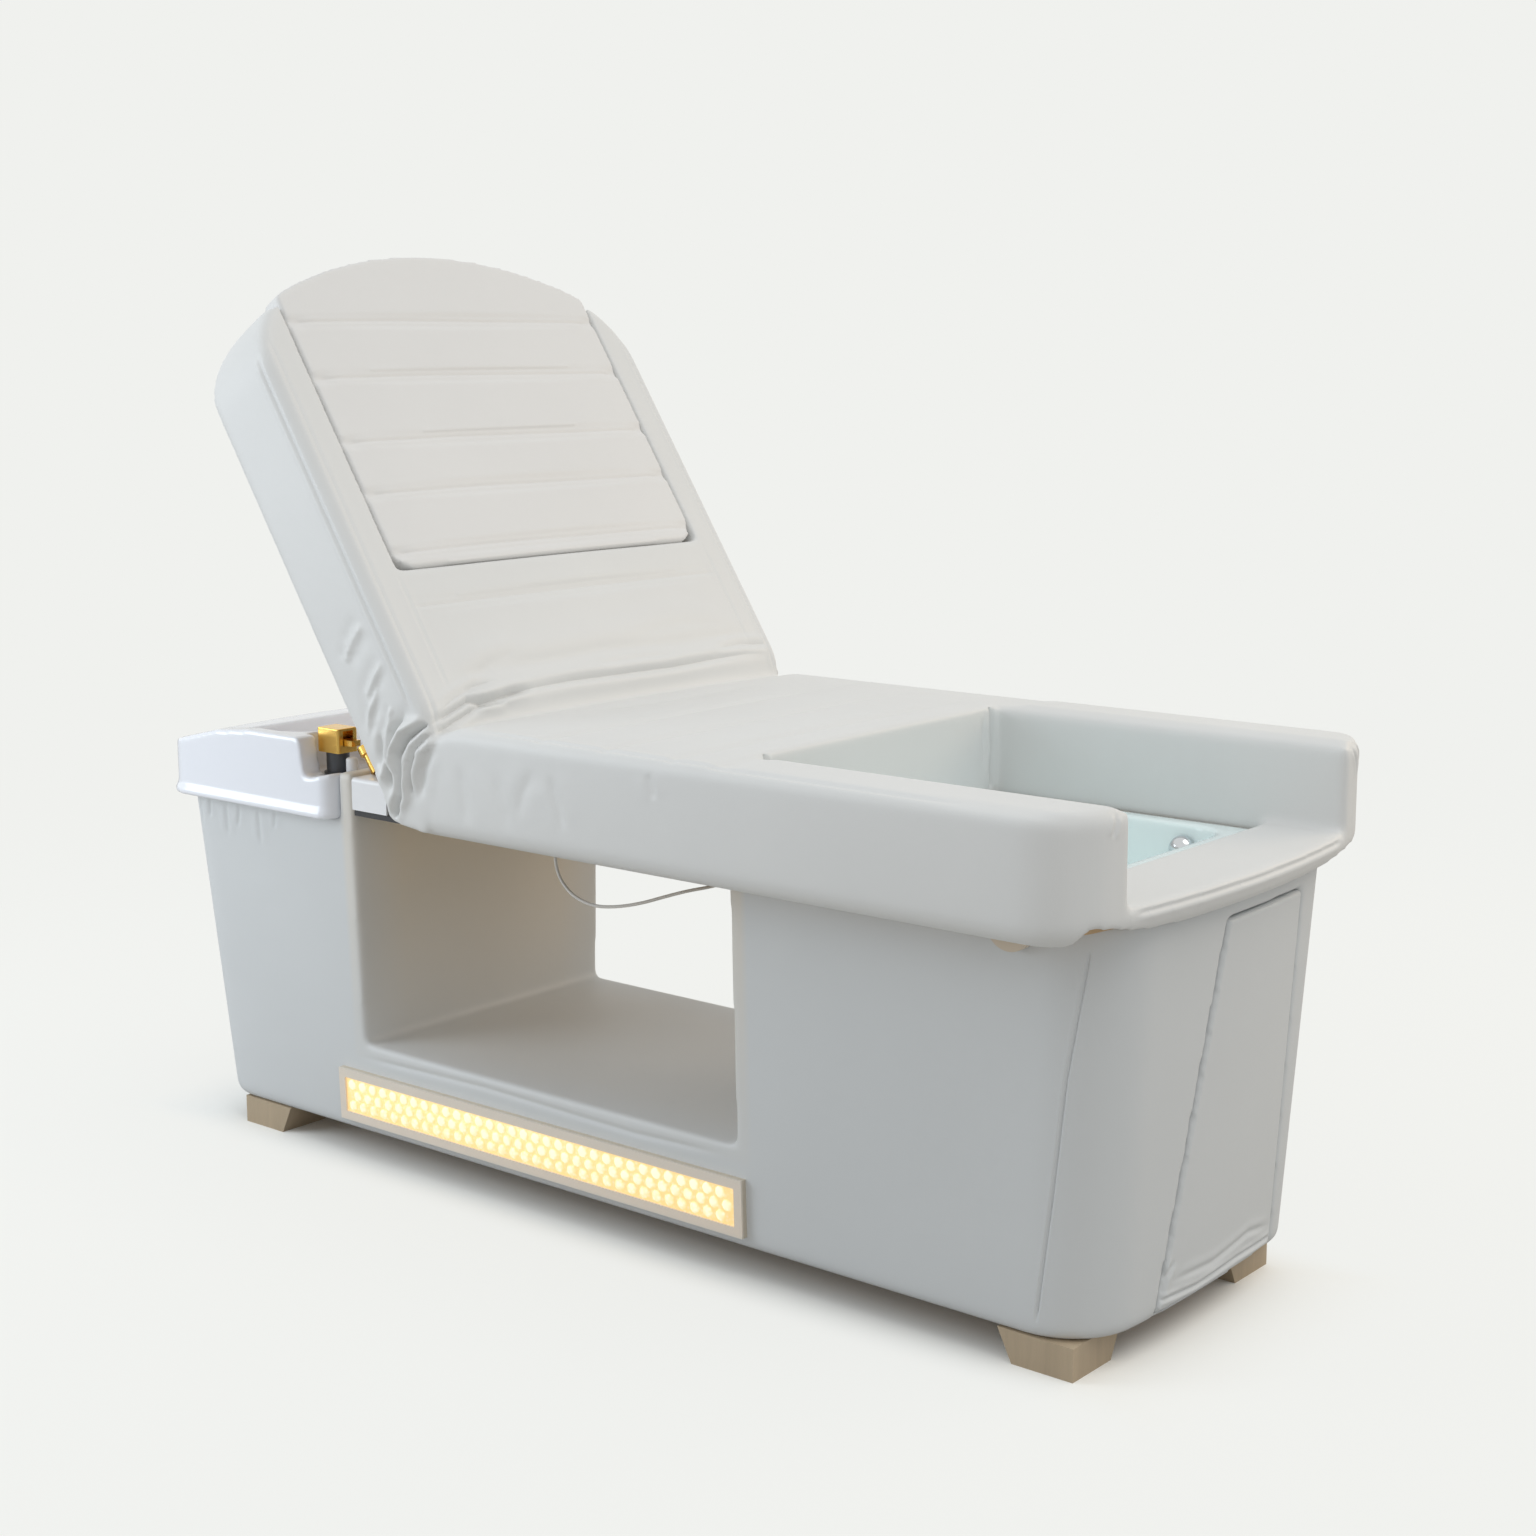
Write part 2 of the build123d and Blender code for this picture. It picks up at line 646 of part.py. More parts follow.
def build_pad():
    """Deck boards, seat cushion, arm rests and foot ledge."""
    form = pad_form()
    seat = form & wide(PIVOT_X, RECESS_HEAD_X, PAD_BOTTOM, PAD_TOP)
    seat = seat & seat_lean(FACE_GAP)
    seat = seat - seat_channels() - hinge_room()
    save(seat, "seat_cushion")
    arm = form & block(
        RECESS_HEAD_X + SOFT_GAP, PAD_FOOT_X, ARM_INNER_Y, PAD_HALF_WIDTH, PAD_BOTTOM, PAD_TOP
    )
    inner_edges = arm.edges().filter_by(Axis.X).filter_by_position(
        Axis.Y, ARM_INNER_Y - FACE_GAP, ARM_INNER_Y + FACE_GAP
    )
    arm = fillet(inner_edges.group_by(Axis.Z)[-1], ARM_ROUND)
    save(arm, "far_arm_cushion")
    save(mirror(arm, about=Plane.XZ), "near_arm_cushion")
    ledge_y = ARM_INNER_Y - SOFT_GAP
    ledge = form & block(LEDGE_HEAD_X, PAD_FOOT_X, -ledge_y, ledge_y, PAD_BOTTOM, LEDGE_TOP)
    rolled = ledge.edges().group_by(Axis.Z)[-1]
    rolled = [edge for edge in rolled if abs(edge.center().Y) < ledge_y - FACE_GAP]
    save(fillet(rolled, LEDGE_ROUND), "foot_ledge_cushion")

    save(
        block(
            DECK_HEAD_X,
            RECESS_HEAD_X,
            -DECK_HALF_WIDTH,
            DECK_HALF_WIDTH,
            CARCASS_TOP,
            DECK_TOP,
        ),
        "seat_deck",
    )
    plan = bowed_plan(
        RECESS_HEAD_X,
        PAD_FOOT_X - DECK_FOOT_INSET,
        DECK_HALF_WIDTH,
        PAD_TOP_ROUND,
        PAD_CORNER - PAD_LOW_ROUND,
        PAD_CORNER - PAD_LOW_ROUND,
        PAD_BOW,
    )
    deck = extrude(Pos(0, 0, CARCASS_TOP) * plan, DECK_THICK)
    hole = foot_bowl_plan(FOOT_BOWL_WALL + FOOT_HOLE_GAP, 0)
    deck = deck - extrude(Pos(0, 0, CARCASS_TOP - OVERRUN) * hole, DECK_THICK + 2 * OVERRUN)
    save(deck, "foot_deck")
    save(both_sides(pad_tab()), "pad_tabs")


def pad_tab():
    """A half round tab that hangs below the arm rest beside the far cabinet wall."""
    y0 = half_width_at(CARCASS_TOP)
    z = PAD_BOTTOM
    disc = rod_y(TAB_RADIUS, y0, y0 + TAB_THICK, TAB_X, z)
    upper = block(
        TAB_X - TAB_RADIUS, TAB_X + TAB_RADIUS, y0 - OVERRUN, y0 + TAB_THICK + OVERRUN, z, z + TAB_RADIUS
    )
    stem = block(TAB_X - TAB_RADIUS, TAB_X + TAB_RADIUS, y0, y0 + TAB_THICK, z, CARCASS_TOP)
    return disc - upper + stem


def foot_bowl_plan(grow, depth):
    """The foot basin's bowl outline at a depth below its rim."""
    taper = FOOT_BOWL_TAPER * depth / FOOT_BOWL_DEPTH
    x0 = FOOT_RIM_X0 + FOOT_BOWL_LIP + taper - grow
    x1 = FOOT_RIM_X1 - FOOT_BOWL_LIP - taper + grow
    half = FOOT_RIM_Y - FOOT_BOWL_LIP - taper + grow
    return Pos((x0 + x1) / 2, 0) * RectangleRounded(x1 - x0, 2 * half, FOOT_BOWL_CORNER + grow)


def foot_bowl(grow, bottom):
    """The foot basin's bowl as a tapered solid."""
    depth = DECK_TOP + FOOT_RIM_THICK - bottom
    return loft(
        [
            Pos(0, 0, DECK_TOP + FOOT_RIM_THICK) * foot_bowl_plan(grow, 0),
            Pos(0, 0, bottom) * foot_bowl_plan(grow, depth),
        ],
        ruled=True,
    )


def drain_cup(x, y, z):
    """A flanged waste that hangs through a bowl's floor."""
    flange = rod_z(DRAIN_FLANGE, z, z + DRAIN_FLANGE_THICK, x, y)
    tail = rod_z(DRAIN_RADIUS, z - DRAIN_DROP, z, x, y)
    bore = rod_z(DRAIN_RADIUS - DRAIN_WALL, z - DRAIN_DROP - OVERRUN, z + OVERRUN, x, y)
    bar = block(
        x - DRAIN_RADIUS,
        x + DRAIN_RADIUS,
        y - DRAIN_WALL - PLUG_STEM,
        y + DRAIN_WALL + PLUG_STEM,
        z - DRAIN_DROP,
        z - DRAIN_DROP + DRAIN_WALL,
    )
    guide = rod_z(PLUG_STEM + RUN_GAP, z - DRAIN_DROP - OVERRUN, z, x, y)
    return (flange + tail - bore) + (bar & rod_z(DRAIN_RADIUS, 0, z, x, y)) - guide


def drain_plug(x, y, z):
    """A push-up plug with a stem in the waste's guide bar."""
    cap = rod_z(PLUG_RADIUS, z, z + PLUG_CAP, x, y)
    stem = rod_z(PLUG_STEM, z - DRAIN_DROP - PLUG_CAP, z, x, y)
    return fillet(cap.edges().group_by(Axis.Z)[-1], PLUG_CAP / 2) + stem


def build_foot_basin():
    """The foot bath with its waste, plug, pipe and inlet."""
    rim = block(FOOT_RIM_X0, FOOT_RIM_X1, -FOOT_RIM_Y, FOOT_RIM_Y, DECK_TOP, DECK_TOP + FOOT_RIM_THICK)
    shell = rim + foot_bowl(FOOT_BOWL_WALL, FOOT_BOWL_FLOOR - FOOT_BOWL_WALL)
    cavity = foot_bowl(0, FOOT_BOWL_FLOOR)
    cavity = fillet(cavity.edges().group_by(Axis.Z)[0], FOOT_BOWL_CORNER / 2)
    hole = rod_z(DRAIN_RADIUS, FOOT_BOWL_FLOOR - OVERRUN - FOOT_BOWL_WALL, DECK_TOP, FOOT_DRAIN_X, 0)
    inlet_y = foot_wall_y()
    inlet_z = DECK_TOP + FOOT_RIM_THICK - INLET_DROP
    port = rod_y(INLET_DEPTH, inlet_y - OVERRUN, inlet_y + FOOT_BOWL_LIP, INLET_X, inlet_z)
    save(shell - cavity - hole - port, "foot_basin")
    save(drain_cup(FOOT_DRAIN_X, 0, FOOT_BOWL_FLOOR), "foot_drain_cup")
    save(drain_plug(FOOT_DRAIN_X, 0, FOOT_BOWL_FLOOR + DRAIN_FLANGE_THICK + RUN_GAP), "foot_drain_plug")
    save(waste_elbow(FOOT_DRAIN_X, FOOT_BOWL_FLOOR - DRAIN_DROP, -FOOT_PIPE_RUN), "foot_waste_pipe")
    save(basin_inlet(inlet_y, inlet_z), "foot_basin_inlet")


def foot_wall_y():
    """The far inner wall of the foot bath at the inlet's height."""
    taper = FOOT_BOWL_TAPER * INLET_DROP / FOOT_BOWL_DEPTH
    return FOOT_RIM_Y - FOOT_BOWL_LIP - taper


def basin_inlet(y, z):
    """A domed chrome inlet in the far wall, with its tail through the wall."""
    tail = rod_y(INLET_DEPTH - RUN_GAP, y - FOOT_BOWL_WALL, y + 2 * FOOT_BOWL_WALL, INLET_X, z)
    dome = Pos(INLET_X, y - INLET_SEAT, z) * Sphere(INLET_RADIUS)
    front = block(
        INLET_X - INLET_RADIUS,
        INLET_X + INLET_RADIUS,
        y - INLET_SEAT - INLET_RADIUS,
        y - INLET_SEAT,
        z - INLET_RADIUS,
        z + INLET_RADIUS,
    )
    cap = dome & front
    return cap + tail


def waste_elbow(x, top, run):
    """A waste pipe that drops from a cup and turns along X."""
    side = math.copysign(1, run)
    path = FilletPolyline(
        (x, 0, top), (x, 0, top - 2 * PIPE_BEND), (x + side * abs(run), 0, top - 2 * PIPE_BEND),
        radius=PIPE_BEND,
    )
    start = Plane(origin=(x, 0, top), z_dir=(0, 0, -1))
    ring = Circle(PIPE_RADIUS + PIPE_WALL) - Circle(PIPE_RADIUS - DRAIN_WALL)
    return sweep(start * ring, path=path)


def basin_outline(grow):
    """The head basin's plan, bowed at its head end."""
    half = BASIN_HALF_WIDTH + grow
    corner_x = BASIN_HEAD_X + BASIN_BOW - grow
    foot_x = BASIN_FOOT_X
    head_x = BASIN_HEAD_X - grow
    sides = Polyline((corner_x, -half), (foot_x, -half), (foot_x, half), (corner_x, half))
    end = ThreePointArc((corner_x, half), (head_x, 0), (corner_x, -half))
    face = make_face(sides + end)
    face = fillet(face.vertices().group_by(Axis.X)[0], BASIN_CORNER + grow)
    return fillet(face.vertices().group_by(Axis.X)[-1], BASIN_END_CORNER)


def basin_sky():
    """The region above the basin's walls, seen from the side."""
    sky = BASIN_TOP + 2 * NECK_RADIUS
    x_low = BASIN_HEAD_X - 2 * OVERRUN
    x_end = BASIN_FOOT_X + OVERRUN
    step_foot = BASIN_STEP_X + BASIN_STEP_RUN
    outline = Polyline(
        (x_low, sky),
        (x_low, BASIN_HEAD_RIM),
        (BASIN_HEAD_SLOPE_X, BASIN_HEAD_RIM),
        (BASIN_SHOULDER_X, (BASIN_TOP + BASIN_HEAD_RIM) / 2 + BASIN_STEP_RUN),
        (BASIN_LEVEL_X, BASIN_TOP),
        (BASIN_STEP_X, BASIN_TOP),
        (step_foot, BASIN_DECK),
        (x_end, BASIN_DECK_END),
        (x_end, sky),
        close=True,
    )
    face = make_face(outline)
    corners = face.vertices()
    step = [v for v in corners if v.X in (BASIN_STEP_X, step_foot)]
    face = fillet(step, BASIN_STEP_RUN)
    return extrude(Plane.XZ * face, BASIN_HALF_WIDTH + 2 * OVERRUN, both=True)


def basin_bowl(grow, floor):
    """The bowl of the head basin as a tapered solid."""
    top = BASIN_TOP + OVERRUN
    share = (top - floor) / (top - BOWL_FLOOR)
    head = BOWL_HEAD_X + share * (BOWL_FLOOR_HEAD_X - BOWL_HEAD_X)
    foot = BOWL_FOOT_X + share * (BOWL_FLOOR_FOOT_X - BOWL_FOOT_X)
    half = BOWL_HALF_WIDTH + share * (BOWL_FLOOR_HALF_WIDTH - BOWL_HALF_WIDTH)
    high = RectangleRounded(
        BOWL_FOOT_X - BOWL_HEAD_X + 2 * grow, 2 * BOWL_HALF_WIDTH + 2 * grow, BOWL_CORNER + grow
    )
    low = RectangleRounded(foot - head + 2 * grow, 2 * half + 2 * grow, BOWL_FLOOR_CORNER + grow)
    return loft(
        [
            Pos((BOWL_FOOT_X + BOWL_HEAD_X) / 2, 0, top) * high,
            Pos((foot + head) / 2, 0, floor) * low,
        ],
        ruled=True,
    )


def build_head_basin():
    """The shampoo basin with its waste, trap and outlet."""
    walls = extrude(Pos(0, 0, FLANGE_LEVEL) * basin_outline(0), BASIN_TOP - FLANGE_LEVEL)
    lip = extrude(Pos(0, 0, FLANGE_LEVEL) * basin_outline(LIP_PROUD), LIP_HEIGHT)
    lip = fillet(lip.edges().group_by(Axis.Z)[-1], LIP_ROUND)
    walls = walls - basin_sky()
    inner_half = BOWL_HALF_WIDTH - BOWL_WALL
    deck_cut = block(
        BOWL_FOOT_X - OVERRUN, BASIN_STEP_X + 2 * BASIN_STEP_RUN, -inner_half, inner_half,
        BASIN_DECK, BASIN_TOP + OVERRUN,
    )
    tap_pad = block(
        BOWL_FOOT_X - OVERRUN, BASIN_FOOT_X + OVERRUN, -inner_half, TAP_Y + 2 * MIXER_BASE_RADIUS,
        BASIN_DECK, BASIN_TOP + OVERRUN,
    )
    neck = rod_x(
        NECK_RADIUS, BOWL_FOOT_X - NECK_REACH, BASIN_FOOT_X + OVERRUN, 0,
        BASIN_DECK + NECK_RADIUS - NECK_DEPTH,
    )
    pocket = block(
        BOWL_FOOT_X + DECK_POCKET_SIDE,
        BASIN_FOOT_X - DECK_POCKET_SIDE,
        NECK_RADIUS,
        BOWL_HALF_WIDTH - DECK_POCKET_SIDE,
        FLANGE_LEVEL - OVERRUN,
        DECK_POCKET_ROOF,
    )
    lower = basin_bowl(BOWL_WALL, BOWL_FLOOR - BOWL_WALL) & wide(
        BASIN_HEAD_X, BASIN_FOOT_X, BOWL_FLOOR - BOWL_WALL, FLANGE_LEVEL + LIP_HEIGHT
    )
    cavity = basin_bowl(0, BOWL_FLOOR)
    cavity = fillet(cavity.edges().group_by(Axis.Z)[0], BOWL_FLOOR_CORNER / 2)
    hole = rod_z(DRAIN_RADIUS, BOWL_FLOOR - 2 * BOWL_WALL, BOWL_FLOOR + OVERRUN, HEAD_DRAIN_X, 0)
    basin = walls + lip + lower - cavity - deck_cut - tap_pad - neck - hole
    basin = basin - pocket - mirror(pocket, about=Plane.XZ)
    save(basin, "head_basin")
    save(drain_cup(HEAD_DRAIN_X, 0, BOWL_FLOOR), "head_drain_cup")
    save(drain_plug(HEAD_DRAIN_X, 0, BOWL_FLOOR + DRAIN_FLANGE_THICK + RUN_GAP), "head_drain_plug")
    save(bottle_trap(), "head_drain_trap")


def bottle_trap():
    """A bottle trap under the waste, with its outlet towards the head end."""
    top = BOWL_FLOOR - DRAIN_DROP
    outer = PIPE_RADIUS + PIPE_WALL
    neck = rod_z(outer, top - TRAP_DROP, top, HEAD_DRAIN_X, 0)
    bottle = rod_z(TRAP_RADIUS, top - TRAP_DROP - TRAP_HEIGHT, top - TRAP_DROP, HEAD_DRAIN_X, 0)
    bottle = fillet(bottle.edges(), TRAP_ROUND)
    outlet_z = top - TRAP_DROP - TRAP_RADIUS
    outlet = rod_x(PIPE_RADIUS, HEAD_DRAIN_X, HEAD_DRAIN_X + OUTLET_LENGTH, 0, outlet_z)
    inner = PIPE_RADIUS - PIPE_WALL
    bore = rod_z(inner, top - TRAP_DROP, top + OVERRUN, HEAD_DRAIN_X, 0)
    mouth = rod_x(
        inner, HEAD_DRAIN_X + TRAP_RADIUS, HEAD_DRAIN_X + OUTLET_LENGTH + OVERRUN, 0, outlet_z
    )
    return neck + bottle + outlet - bore - mouth


def build_bridge():
    """The white box that sits on the rails, with a skirt down the outside of each."""
    x0 = TUNNEL_HEAD_X
    x1 = x0 + BRIDGE_LENGTH
    low = CARCASS_TOP - BRIDGE_SKIRT
    rails = RAIL_OUTER_Y + RUN_GAP
    half = rails + BRIDGE_WALL
    outer = block(x0, x1, -half, half, low, BRIDGE_TOP)
    outer = fillet(outer.edges().filter_by(Axis.X).group_by(Axis.Z)[-1], BRIDGE_ROUND)
    inner = block(
        x0 + BRIDGE_WALL,
        x1 - BRIDGE_WALL,
        BRIDGE_WALL - RAIL_OUTER_Y,
        RAIL_OUTER_Y - BRIDGE_WALL,
        low - OVERRUN,
        BRIDGE_TOP - BRIDGE_WALL,
    )
    under = block(x0 - OVERRUN, x1 + OVERRUN, -rails, rails, low - OVERRUN, CARCASS_TOP)
    save(outer - inner - under, "neck_bridge")


def build_tap():
    """Mixer body, swivel cap, lever, diverter knob, spray holder and hand spray."""
    deck = BASIN_DECK
    base = rod_z(MIXER_BASE_RADIUS, deck, deck + MIXER_BASE_HEIGHT, MIXER_X, TAP_Y)
    stem = rod_z(MIXER_RADIUS, deck, MIXER_TOP, MIXER_X, TAP_Y)
    save(base + stem, "mixer_body")

    cap = block(
        MIXER_X - CAP_LENGTH / 2,
        MIXER_X + CAP_LENGTH / 2,
        TAP_Y - CAP_WIDTH / 2,
        TAP_Y + CAP_WIDTH / 2,
        CAP_BOTTOM,
        CAP_TOP,
    )
    cap = fillet(cap.edges().filter_by(Axis.Z), CAP_ROUND)
    cap = fillet(cap.edges().group_by(Axis.Z)[-1], CAP_ROUND / 2)
    pivot_x = MIXER_X + CAP_LENGTH / 2 - LEVER_PIVOT_INSET
    slot = block(
        pivot_x - LEVER_PIVOT_INSET - LEVER_THICK,
        MIXER_X + CAP_LENGTH,
        TAP_Y - LEVER_WIDTH / 2 - LEVER_SLOT_GAP,
        TAP_Y + LEVER_WIDTH / 2 + LEVER_SLOT_GAP,
        LEVER_LEVEL - LEVER_THICK / 2 - LEVER_SLOT_GAP,
        LEVER_LEVEL + 2 * LEVER_THICK,
    )
    pin = rod_y(
        LEVER_PIN_RADIUS, TAP_Y - CAP_WIDTH / 2, TAP_Y + CAP_WIDTH / 2, pivot_x, LEVER_LEVEL
    )
    save(cap - slot + pin, "mixer_cap")

    lever = block(
        pivot_x,
        pivot_x + LEVER_LENGTH,
        TAP_Y - LEVER_WIDTH / 2,
        TAP_Y + LEVER_WIDTH / 2,
        LEVER_LEVEL - LEVER_THICK / 2,
        LEVER_LEVEL + LEVER_THICK / 2,
    )
    eye = rod_y(LEVER_THICK / 2, TAP_Y - LEVER_WIDTH / 2, TAP_Y + LEVER_WIDTH / 2, pivot_x, LEVER_LEVEL)
    bore = rod_y(
        LEVER_PIN_RADIUS + LEVER_PIN_GAP, TAP_Y - LEVER_WIDTH, TAP_Y + LEVER_WIDTH, pivot_x, LEVER_LEVEL
    )
    save(lever + eye - bore, "mixer_lever")

    knob_base = deck + KNOB_LIFT
    knob = rod_z(KNOB_RADIUS, knob_base, deck + KNOB_HEIGHT, KNOB_X, TAP_Y)
    knob = fillet(knob.edges().group_by(Axis.Z)[-1], KNOB_RADIUS / 2)
    save(knob + rod_z(KNOB_STEM_RADIUS, deck + RUN_GAP, knob_base, KNOB_X, TAP_Y), "diverter_knob")

    seat_z = BRIDGE_TOP
    holder = block(
        SPRAY_X - HOLDER_LENGTH / 2,
        SPRAY_X + HOLDER_LENGTH / 2,
        TAP_Y - HOLDER_WIDTH / 2,
        TAP_Y + HOLDER_WIDTH / 2,
        seat_z,
        seat_z + HOLDER_HEIGHT,
    )
    axis_z = seat_z + HOLDER_HEIGHT / 2
    channel = spray_bar(SPRAY_RADIUS + HOLDER_GAP, -HOLDER_LENGTH, 2 * SPRAY_LENGTH, axis_z)
    opening = block(
        SPRAY_X - HOLDER_LENGTH,
        SPRAY_X + HOLDER_LENGTH,
        TAP_Y - HOLDER_WIDTH,
        TAP_Y,
        seat_z - HOLDER_HEIGHT,
        seat_z + 2 * HOLDER_HEIGHT,
    )
    save(holder - channel - opening, "spray_holder")
    handle = spray_bar(SPRAY_RADIUS, 0, SPRAY_LENGTH, axis_z)
    head = spray_bar(SPRAY_HEAD_RADIUS, SPRAY_LENGTH - SPRAY_HEAD_LENGTH, SPRAY_LENGTH, axis_z)
    save(handle + head, "spray_handset")


def spray_bar(radius, start, end, z):
    """A bar along the leaning hand spray."""
    at = Pos(SPRAY_X, TAP_Y, z) * Rot(0, -SPRAY_TILT, 0)
    return at * Pos(0, 0, (start + end) / 2) * Cylinder(radius, end - start)


def on_near_side(shape):
    """Lay a shape, drawn with Z outwards, on the near side of the cabinet."""
    mid_z = (LED_Z0 + LED_Z1) / 2
    at = Pos((LED_X0 + LED_X1) / 2, -half_width_at(mid_z), mid_z)
    return at * Rot(90 + SIDE_TILT, 0, 0) * shape


def led_slab(inset, low, high):
    """A slab of the light panel, drawn in from its outline."""
    length = LED_X1 - LED_X0 - 2 * inset
    width = LED_Z1 - LED_Z0 - 2 * inset
    return Pos(0, 0, (low + high) / 2) * Box(length, width, high - low)


def build_light():
    """Light housing, strips, beaded diffuser and clear bezel."""
    front = LED_DEPTH
    tray = led_slab(0, 0, front) - led_slab(LED_RIM, LED_BACK, front + OVERRUN)
    save(on_near_side(tray), "led_housing")
    length = LED_X1 - LED_X0 - 2 * LED_STRIP_INSET
    pitch = (LED_Z1 - LED_Z0 - 2 * LED_BEZEL_WIDTH) / LED_STRIP_ROWS
    strips = []
    for row in range(LED_STRIP_ROWS):
        y = (row - (LED_STRIP_ROWS - 1) / 2) * pitch
        strip = Pos(0, y, LED_BACK + LED_STRIP_THICK / 2) * Box(length, LED_STRIP_WIDTH, LED_STRIP_THICK)
        strips.append(on_near_side(strip))
    save(Compound(strips), "led_strips")
    low = front - DIFFUSER_THICK
    diffuser = led_slab(LED_RIM + RUN_GAP, low, front)
    beads = []
    reach_x = LED_X1 - LED_X0 - 2 * LED_BEZEL_WIDTH
    reach_y = LED_Z1 - LED_Z0 - 2 * LED_BEZEL_WIDTH
    for column in range(BEAD_COLUMNS):
        for row in range(BEAD_ROWS):
            x = (2 * column + 1 - BEAD_COLUMNS) * reach_x / (2 * BEAD_COLUMNS)
            y = (2 * row + 1 - BEAD_ROWS) * reach_y / (2 * BEAD_ROWS)
            bead = Cone(BEAD_RADIUS, BEAD_RADIUS / 2, BEAD_HEIGHT)
            beads.append(Pos(x, y, front + BEAD_HEIGHT / 2) * bead)
    save(on_near_side(diffuser + beads), "led_diffuser")
    bezel = led_slab(0, front, front + LED_BEZEL_THICK)
    bezel = bezel - led_slab(LED_BEZEL_WIDTH, front - OVERRUN, front + LED_BEZEL_THICK + OVERRUN)
    save(on_near_side(bezel), "led_bezel")


def raised(shape):
    """Turn a shape drawn in the flat position, pivot at the origin, to the raised position."""
    return Pos(PIVOT_X, 0, PIVOT_Z) * Rot(0, RECLINE, 0) * shape


def flat_block(a0, a1, y0, y1, h0, h1):
    """A block of the backrest: along the back, across it and up from the pivot."""
    return block(-a1, -a0, y0, y1, h0, h1)


def back_plan():
    """The backrest's outline: straight sides and one large top arc."""
    half = BACK_HALF_WIDTH
    drop = BACK_TOP_RADIUS - math.sqrt(BACK_TOP_RADIUS**2 - half**2)
    corner = -(BACK_LENGTH - drop)
    sides = Polyline((corner, -half), (OVERRUN, -half), (OVERRUN, half), (corner, half))
    end = ThreePointArc((corner, half), (-BACK_LENGTH, 0), (corner, -half))
    face = make_face(sides + end)
    return fillet(face.vertices().group_by(Axis.X)[0], BACK_CORNER)


def back_form():
    """The rounded form of the whole backrest, before it is divided."""
    low = BACK_FACE - BOLSTER_DEPTH
    form = extrude(Pos(0, 0, low) * back_plan(), BOLSTER_DEPTH)
    form = fillet(form.edges().group_by(Axis.Z)[-1], BACK_TOP_ROUND)
    return form


def back_lean(gap):
    """Everything on the backrest's side of the plane where seat and back meet."""
    rise = BACK_FACE + OVERRUN
    start = gap / math.cos(math.radians(HALF_SWING))
    end = BACK_LENGTH + OVERRUN
    low = BACK_FACE - BOLSTER_DEPTH
    heel = BOLSTER_HEEL * (BOLSTER_DEPTH - BACK_FACE) / BOLSTER_HEEL_DROP
    outline = Polyline(
        (-start - rise * BACK_LEAN, rise),
        (-start, 0),
        (-start - BOLSTER_HEEL, -BOLSTER_HEEL_DROP),
        (-start - heel, low),
        (-end, low),
        (-end, rise),
        close=True,
    )
    return extrude(Plane.XZ * make_face(outline), BACK_HALF_WIDTH + OVERRUN, both=True)


def bolster_profile():
    """The side bolster seen from the side, with its rounded tip."""
    low = BACK_FACE - BOLSTER_DEPTH
    tip = BOLSTER_TIP
    lines = Polyline(
        (-tip + BOLSTER_TIP_RUN, low),
        (-BOLSTER_HEEL - BOLSTER_HEEL_RUN, low),
        (-BOLSTER_HEEL, -BOLSTER_HEEL_DROP),
        (0, 0),
        (-BACK_FACE * BACK_LEAN, BACK_FACE),
        (-tip, BACK_FACE),
        (-tip, low + BOLSTER_TIP_RISE),
    )
    mid_a = -tip + BOLSTER_TIP_RUN * (1 - math.sqrt(2) / 2)
    mid_h = low + BOLSTER_TIP_RISE * (1 - math.sqrt(2) / 2)
    round_end = ThreePointArc(
        (-tip, low + BOLSTER_TIP_RISE), (mid_a, mid_h), (-tip + BOLSTER_TIP_RUN, low)
    )
    return Plane.XZ * make_face(lines + round_end)


def back_channel(a):
    """A channel across the backrest's face."""
    return rod_y(CHANNEL_RADIUS, -INSERT_HALF_WIDTH, INSERT_HALF_WIDTH, -a,
                 BACK_FACE + CHANNEL_RADIUS - CHANNEL_DEPTH)


